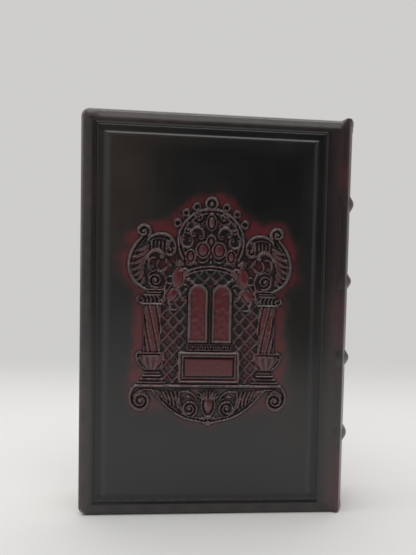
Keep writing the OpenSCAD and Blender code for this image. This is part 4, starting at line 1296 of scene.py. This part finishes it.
def make_spine():
    """The spine's leather: one skin that swells over the bands and turns in at head and tail."""
    points, run, total = spine_plan(SPINE_COLUMNS)
    tangent = np.gradient(points, axis=0)
    tangent /= np.hypot(tangent[:, 0], tangent[:, 1])[:, None]
    outward = np.stack([-tangent[:, 1], tangent[:, 0]], 1)
    outward[0], outward[-1] = (0, 1), (0, -1)
    inside_run = np.minimum(run, total - run)
    reach = 1.0 + 3.6 * smoothstep((inside_run - 0.5) / 7.0)
    end_r = 0.9 + 0.1 * smoothstep(inside_run / 5.0)
    head = COVER_H + cap_curve(points[:, 0])
    fade = band_fade(inside_run)
    side_red = 0.5 + 0.5 * smoothstep(inside_run / 8.0)
    side_red = side_red * (0.35 + 0.65 * smoothstep((24.0 - inside_run) / 10.0))
    section = spine_section()
    places = np.zeros((len(section) + 1, SPINE_COLUMNS, 3))
    shares = {key: np.zeros(places.shape[:2]) for key in ("red", "dark", "rub")}
    cloud = noise_field(5, places.shape[:2], 5)
    for row, (turn_in, near_end, z, from_head) in enumerate(section):
        outside = turn_in is None
        depth = round_depth(near_end, end_r) if outside else 1.0 + (reach - 1.0) * turn_in
        level = np.full(SPINE_COLUMNS, z)
        if from_head:
            level = head - z
        elif outside:
            level = z + (head - COVER_H) * near_head(z)
        rise, foot = band_shape(level)
        swell = (sizes().band_rise / MM * rise - 0.12 * foot) * fade if outside else 0
        from_top = z if from_head else COVER_H - z
        flare = 1.7 * smoothstep((5.5 - from_top) / 5.0)
        flare += 0.4 * smoothstep((6.0 - (COVER_H - from_top)) / 6.0)
        swell = swell + flare * smoothstep((inside_run - 0.5) / 4.0)
        at = points + outward * (swell - np.minimum(depth, reach))[:, None]
        places[row] = np.stack([at[:, 0], at[:, 1], level], 1)
        between = 1 - np.clip(rise + foot, 0, 1)
        worn = 0.2 + 0.75 * spine_wear(level) * (0.9 + 0.15 * cloud[row])
        rubbed = 0.08 * smoothstep((inside_run - 6.0) / 5.0) * between
        rubbed += 0.3 * smoothstep((rise - 0.75) / 0.25) * fade
        if from_head or z < 2.5:
            rubbed = np.maximum(rubbed, 0.35 * smoothstep((2.6 - z) / 2.0))
        shares["red"][row] = np.clip((worn * between + 0.6 * rise * fade) * side_red, 0, 1)
        # Painted shade in the crease at the foot of each band
        shares["dark"][row] = 0.75 * foot * smoothstep((inside_run - 1.0) / 4.0)
        shares["rub"][row] = rubbed
    places[-1] = places[0]
    for values in shares.values():
        values[-1] = values[0]
    bm = grid_mesh(SPINE_COLUMNS, len(places))
    place_grid(bm, places)
    return seal_tube(bm, "spine_skin", "block", ["spine_leather"], shares)


def seal_tube(bm, name, body, nodes, shares, material_name="antiqued_leather", fold_x=None):
    """Joins a grid's first and last rows, closes its two ends and makes it a piece.

    An end that is folded along a line at fold_x gets one flat face on each side of it.
    """
    for key, values in shares.items():
        layer = bm.verts.layers.float.new(key)
        for vertex, value in zip(bm.verts, values.ravel()):
            vertex[layer] = value
    bmesh.ops.remove_doubles(bm, verts=bm.verts, dist=TOUCH)
    open_rim = [edge for edge in bm.edges if edge.is_boundary]
    filled = bmesh.ops.holes_fill(bm, edges=open_rim, sides=0)["faces"]
    if fold_x is not None:
        for face in filled:
            fold = [vertex for vertex in face.verts if abs(vertex.co.x - fold_x) < TOUCH]
            bmesh.utils.face_split(face, fold[0], fold[1])
    to_place = Matrix(((MM, 0, 0, COVER_LEFT), (0, -MM, 0, MID_Y), (0, 0, MM, 0), (0, 0, 0, 1)))
    bmesh.ops.transform(bm, matrix=to_place, verts=bm.verts)
    return finish_piece(bm, name, body, material_name, nodes)


def make_joint(name, node, side):
    """The strip that bends at a joint: it carries the ends of the bands from the spine to the cover."""
    across = 15
    x = np.linspace(COVER_W, SHOULDER, across)
    share = (x - COVER_W) / STRIP_W
    up = np.concatenate([[0.0, 0.35, 0.9], spine_rows(), [COVER_H - 0.9, COVER_H - 0.35, COVER_H]])
    near_end = np.minimum(up, COVER_H - up)[:, None]
    to_spine = smoothstep(share)
    rounding = (1 - to_spine) * roll_depth(near_end) + to_spine * round_depth(near_end, 0.9)
    head = cap_curve(x) * smoothstep((x - COVER_W) / 1.0)
    rows = []
    shares = {"red": [], "dark": [], "rub": []}
    sunk = 0.22 * np.sin(math.pi * np.clip(share * 1.1, 0, 1)) ** 2
    for z, fall in zip(up, rounding):
        level = z + head * near_head(z)
        rise, foot = band_shape(level)
        swell = sizes().band_rise / MM * band_fade(0.0) * rise * smoothstep(share / 0.9)
        swell -= 0.05 * foot * smoothstep(share)
        rows.append(np.stack([x, FACE - 0.05 * share - sunk * (1 - rise) - fall + swell, level], 1))
        between = 1 - np.clip(rise + foot, 0, 1)
        shares["red"].append((0.12 + 0.38 * spine_wear(level)) * between * (0.7 + 0.5 * share))
        # Painted shade along the dip in the middle of the joint
        shares["dark"].append(0.15 * np.exp(-((share - 0.45) / 0.3) ** 2))
        # Rubbed leather with a painted highlight across the joint
        shares["rub"].append(0.12 + 0.12 * share + 0.1 * rise * share)
    outer = np.array(rows)
    inner = outer[::-1].copy()
    inner[:, :, 1] = np.minimum(inner[:, :, 1] - 0.9, FACE - 1.0)
    places = np.concatenate([outer, inner, outer[:1]])
    places[:, :, 1] *= side
    full = {}
    for key, values in shares.items():
        values = np.array(values)
        full[key] = np.concatenate([values, values[::-1], values[:1]])
    bm = grid_mesh(across, len(places))
    place_grid(bm, places)
    piece = seal_tube(bm, name, None, [node], full)
    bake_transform(piece)
    return piece


# The pages and what is glued to them. The block has as many layers as the grid can show, is thinner at its
# hollow fore edge than at its shoulders, and lies a little under the leather.

LAYERS = 150
FORE_HALF_T = 16.5
FORE_HOLLOW = 3.0
UNDER_LEATHER = 1.55


def make_pages():
    """The block of pages: many leaves whose cut edges lie slightly uneven, with a hollow fore edge."""
    rng = np.random.default_rng(7)
    low = (PAGES_LOW[0] - COVER_LEFT) / MM
    low_z, high_z = PAGES_LOW[2] / MM, PAGES_HIGH[2] / MM
    flank = COVER_W + 0.6
    y = np.linspace(-1, 1, LAYERS)
    rough = np.convolve(rng.normal(0, 1, LAYERS + 8), np.ones(3) / 3, "same")[4:-4]
    slow = np.convolve(rng.normal(0, 1, LAYERS + 40), np.ones(21) / 9, "same")[20:-20]
    uneven = 0.09 * rough + 0.1 * slow
    fore = low + FORE_HOLLOW * (1 - y ** 2) + np.abs(uneven)
    back_y = y * (FACE - UNDER_LEATHER)
    back = SPINE_AXIS + np.sqrt((SPINE_R - UNDER_LEATHER) ** 2 - back_y ** 2)
    rows = []
    for k in range(LAYERS):
        leaf_y = y[k] * FORE_HALF_T
        inset = abs(uneven[(k * 7) % LAYERS]) * 0.8
        bottom, top = low_z + inset, high_z - inset
        loop = [(fore[k], leaf_y, bottom)]
        for z in np.linspace(bottom, top, 9)[1:-1]:
            loop.append((fore[k] + 0.06 * math.sin(0.09 * z + k), leaf_y, z))
        loop += [(fore[k], leaf_y, top), (flank, leaf_y, top), (back[k], back_y[k], top)]
        loop += [(back[k], back_y[k], bottom), (flank, leaf_y, bottom), (fore[k], leaf_y, bottom)]
        rows.append(loop)
    bm = grid_mesh(len(rows[0]), LAYERS)
    place_grid(bm, np.array(rows))
    return seal_tube(bm, "page_block", "block", ["text_block"], {}, "page_edges", flank)


def make_endband(name, node, low, high):
    """A worked endband: a core wound with two colours of silk."""
    turns = 46
    steps = turns * 6
    around = 13
    end = math.radians(33)
    radius = SPINE_R - 2.55
    middle_z = (low[2] + high[2]) / 2 / MM
    half_h = (high[2] - low[2]) / 2 / MM - 0.15
    rows = []
    stripe = []
    for k in range(steps):
        share = k / (steps - 1)
        a = -end + 2 * end * share
        swell = 0.86 + 0.14 * math.sin(math.pi * ((share * turns) % 1))
        loop = []
        for step in range(around):
            b = 2 * math.pi * step / (around - 1)
            out = radius + 1.15 * swell * math.cos(b)
            up = half_h * swell * math.sin(b)
            loop.append((SPINE_AXIS + out * math.cos(a), out * math.sin(a), middle_z + up))
        rows.append(loop)
        stripe.append([float(int(share * turns * 0.5) % 2)] * around)
    bm = grid_mesh(around, steps)
    place_grid(bm, np.array(rows))
    return seal_tube(bm, name, "block", [node], {"stripe": np.array(stripe)}, "wound_silk")


def dress_frame_nodes():
    """Gives the nodes that stay as they are their materials."""
    plan = {"aged_endpaper": ["front_flyleaf", "rear_flyleaf", "front_pastedown", "rear_pastedown"],
        "grey_pasteboard": ["front_board", "rear_board", "front_panel_card", "rear_panel_card"],
        "lining_linen": ["spine_lining"],
        "hemp_cord": [f"raised_band_{k + 1}" for k in range(BAND_COUNT)]}
    for name, nodes in plan.items():
        for node in nodes:
            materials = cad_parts[node].data.materials
            materials.clear()
            materials.append(material(name))


# The stage. The camera was fitted to the photograph's perspective: its place is in metres, its turn in
# degrees and its lens in millimetres.

CAMERA_PLACE = (-0.0168, -0.2884, 0.1309)
CAMERA_TURN = (87.611, -1.254, -4.195)
CAMERA_LENS = 29.189
CAMERA_SHIFT = (-0.0339, 0.0737)
SENSOR_WIDTH = 36
BACKDROP_TONE = 0.62
BACKDROP_TINT = (1.0, 0.99, 0.975, 1.0)
ROOM_LIGHT = 0.42


def floor_material():
    """Pale floor that takes the book's shadow and passes into the backdrop's tone behind it."""
    n = Nodes("pale_floor")
    at = n.new("ShaderNodeTexCoord").outputs["Object"]
    place = n.new("ShaderNodeSeparateXYZ")
    n.link(at, place.inputs[0])
    far = n.new("ShaderNodeVectorMath", operation="LENGTH")
    n.link(at, far.inputs[0])
    behind = n.maths("MAXIMUM", n.span(place.outputs["Y"], 0.1, 0.7), n.span(far.outputs["Value"], 0.75, 1.7))
    path = n.new("ShaderNodeLightPath")
    glow = n.new("ShaderNodeEmission", Strength=BACKDROP_TONE)
    glow.inputs["Color"].default_value = BACKDROP_TINT
    mixed = n.new("ShaderNodeMixShader")
    n.put(n.maths("MULTIPLY", behind, path.outputs["Is Camera Ray"]), mixed.inputs[0])
    n.link(n.shader.outputs[0], mixed.inputs[1])
    n.link(glow.outputs[0], mixed.inputs[2])
    n.link(mixed.outputs[0], n.tree.nodes["Material Output"].inputs["Surface"])
    return n.surface(rgba(colours().floor), 0.9)


def card_material():
    """Near-black card for a flag behind the camera."""
    return Nodes("black_card").surface(rgba((0.02, 0.02, 0.02)), 1.0)


def plain_sheet(name, corners, look):
    """A flat sheet of the stage with its corners in order."""
    bm = bmesh.new()
    bm.faces.new([bm.verts.new(corner) for corner in corners])
    mesh = bpy.data.meshes.new(name)
    bm.to_mesh(mesh)
    bm.free()
    mesh.materials.append(look)
    sheet = bpy.data.objects.new(name, mesh)
    bpy.context.scene.collection.objects.link(sheet)
    return sheet


def soft_lamp(name, place, target, size, power):
    """A rectangular area lamp that points at target."""
    light = bpy.data.lights.new(name, "AREA")
    light.shape = "RECTANGLE"
    light.size, light.size_y = size
    light.energy = power
    lamp = bpy.data.objects.new(name, light)
    lamp.location = place
    lamp.rotation_euler = (Vector(target) - Vector(place)).to_track_quat("-Z", "Y").to_euler()
    bpy.context.scene.collection.objects.link(lamp)
    return lamp


def pale_world():
    """A pale room: one level for the camera, a lower one for the light it gives."""
    world = bpy.data.worlds.new("pale_room")
    bpy.context.scene.world = world
    world.use_nodes = True
    tree = world.node_tree
    backdrop = tree.nodes["Background"]
    path = tree.nodes.new("ShaderNodeLightPath")
    level = tree.nodes.new("ShaderNodeMapRange")
    level.inputs["To Min"].default_value = ROOM_LIGHT
    level.inputs["To Max"].default_value = BACKDROP_TONE
    tree.links.new(path.outputs["Is Camera Ray"], level.inputs["Value"])
    tree.links.new(level.outputs["Result"], backdrop.inputs["Strength"])
    backdrop.inputs["Color"].default_value = BACKDROP_TINT


def make_stage():
    """The floor, the pale room, the lamps with the flag that shades the leather, and the camera."""
    scene = bpy.context.scene
    plain_sheet("floor", [(-3, -3, 0), (3, -3, 0), (3, 3, 0), (-3, 3, 0)], floor_material())
    flag_corners = [(-0.37, -1.35, 0.0), (-0.37, -1.35, 1.8), (1.1, -1.35, 1.8), (1.1, -1.35, 0.0)]
    flag = plain_sheet("camera_flag", flag_corners, card_material())
    flag.visible_camera = False
    pale_world()
    soft_lamp("overhead_softbox", place=(0, -0.32, 2.4), target=(0, -0.32, 0), size=(2.8, 3.24), power=57.5)
    soft_lamp("left_softbox", place=(-2.0, -0.2, 0.88), target=(0, 0, 0.12), size=(1.0, 1.7), power=10.2)
    camera_data = bpy.data.cameras.new("photo_view")
    camera_data.lens = CAMERA_LENS
    camera_data.sensor_width = SENSOR_WIDTH
    camera_data.shift_x, camera_data.shift_y = CAMERA_SHIFT
    camera = bpy.data.objects.new("photo_view", camera_data)
    camera.location = CAMERA_PLACE
    camera.rotation_euler = Euler([math.radians(a) for a in CAMERA_TURN])
    scene.collection.objects.link(camera)
    scene.camera = camera
    scene.view_settings.view_transform = "Standard"


# Operators, one for each piece or group of like pieces

class PieceOperator:
    """What the operators share: they belong to the object tools and can be undone."""

    bl_options = {"REGISTER", "UNDO"}


class BOOK_OT_front_cover(PieceOperator, Operator):
    """Make the front cover's leather with its frame, panel and emblem"""

    bl_idname = "book.front_cover"
    bl_label = "Front Cover"

    def execute(self, context):
        make_front_cover()
        return {"FINISHED"}


class BOOK_OT_rear_cover(PieceOperator, Operator):
    """Make the rear cover's leather with its frame and plain panel"""

    bl_idname = "book.rear_cover"
    bl_label = "Rear Cover"

    def execute(self, context):
        make_rear_cover()
        return {"FINISHED"}


class BOOK_OT_spine(PieceOperator, Operator):
    """Make the spine's leather with its raised bands and caps"""

    bl_idname = "book.spine"
    bl_label = "Spine"

    def execute(self, context):
        make_spine()
        return {"FINISHED"}


class BOOK_OT_joints(PieceOperator, Operator):
    """Make the two strips of leather that bend when a cover opens"""

    bl_idname = "book.joints"
    bl_label = "Joints"

    def execute(self, context):
        make_joint("front_joint_skin", "front_joint_leather", 1)
        make_joint("rear_joint_skin", "rear_joint_leather", -1)
        return {"FINISHED"}


class BOOK_OT_pages(PieceOperator, Operator):
    """Make the block of pages with its uneven cut edges"""

    bl_idname = "book.pages"
    bl_label = "Pages"

    def execute(self, context):
        make_pages()
        return {"FINISHED"}


class BOOK_OT_endbands(PieceOperator, Operator):
    """Make the silk endbands at head and tail"""

    bl_idname = "book.endbands"
    bl_label = "Endbands"

    def execute(self, context):
        make_endband("head_silk", "head_endband", HEAD_BAND_LOW, HEAD_BAND_HIGH)
        make_endband("tail_silk", "tail_endband", TAIL_BAND_LOW, TAIL_BAND_HIGH)
        return {"FINISHED"}


class BOOK_OT_paper_and_boards(PieceOperator, Operator):
    """Give the endpapers, boards, lining and cords their materials"""

    bl_idname = "book.paper_and_boards"
    bl_label = "Paper and Boards"

    def execute(self, context):
        dress_frame_nodes()
        return {"FINISHED"}


class BOOK_OT_stage(PieceOperator, Operator):
    """Set up the pale floor, the soft lamps and the camera"""

    bl_idname = "book.stage"
    bl_label = "Stage"

    def execute(self, context):
        make_stage()
        return {"FINISHED"}


PIECE_OPERATORS = (BOOK_OT_front_cover, BOOK_OT_rear_cover, BOOK_OT_spine, BOOK_OT_joints, BOOK_OT_pages,
    BOOK_OT_endbands, BOOK_OT_paper_and_boards, BOOK_OT_stage)


class BOOK_PT_pieces(Panel):
    """Sizes, colours and the operator of each piece"""

    bl_label = "Book"
    bl_idname = "BOOK_PT_pieces"
    bl_space_type = "VIEW_3D"
    bl_region_type = "UI"
    bl_category = "Book"

    def draw(self, context):
        layout = self.layout
        for group in (context.scene.book_sizes, context.scene.book_colours):
            column = layout.column(align=True)
            for key in group.__annotations__:
                column.prop(group, key)
        column = layout.column(align=True)
        for kind in PIECE_OPERATORS:
            column.operator(kind.bl_idname)


CLASSES = (BookSizes, BookColours) + PIECE_OPERATORS + (BOOK_PT_pieces,)


def register():
    """Adds the sizes, the colours, the operators and the panel."""
    for kind in CLASSES:
        bpy.utils.register_class(kind)
    bpy.types.Scene.book_sizes = PointerProperty(type=BookSizes)
    bpy.types.Scene.book_colours = PointerProperty(type=BookColours)


def unregister():
    """Takes out what register adds."""
    del bpy.types.Scene.book_colours
    del bpy.types.Scene.book_sizes
    for kind in reversed(CLASSES):
        bpy.utils.unregister_class(kind)


def main():
    """Makes the stage and the pieces in order."""
    register()
    bpy.ops.book.stage()
    bpy.ops.book.front_cover()
    bpy.ops.book.rear_cover()
    bpy.ops.book.spine()
    bpy.ops.book.joints()
    bpy.ops.book.pages()
    bpy.ops.book.endbands()
    bpy.ops.book.paper_and_boards()


if __name__ == "__main__":
    main()
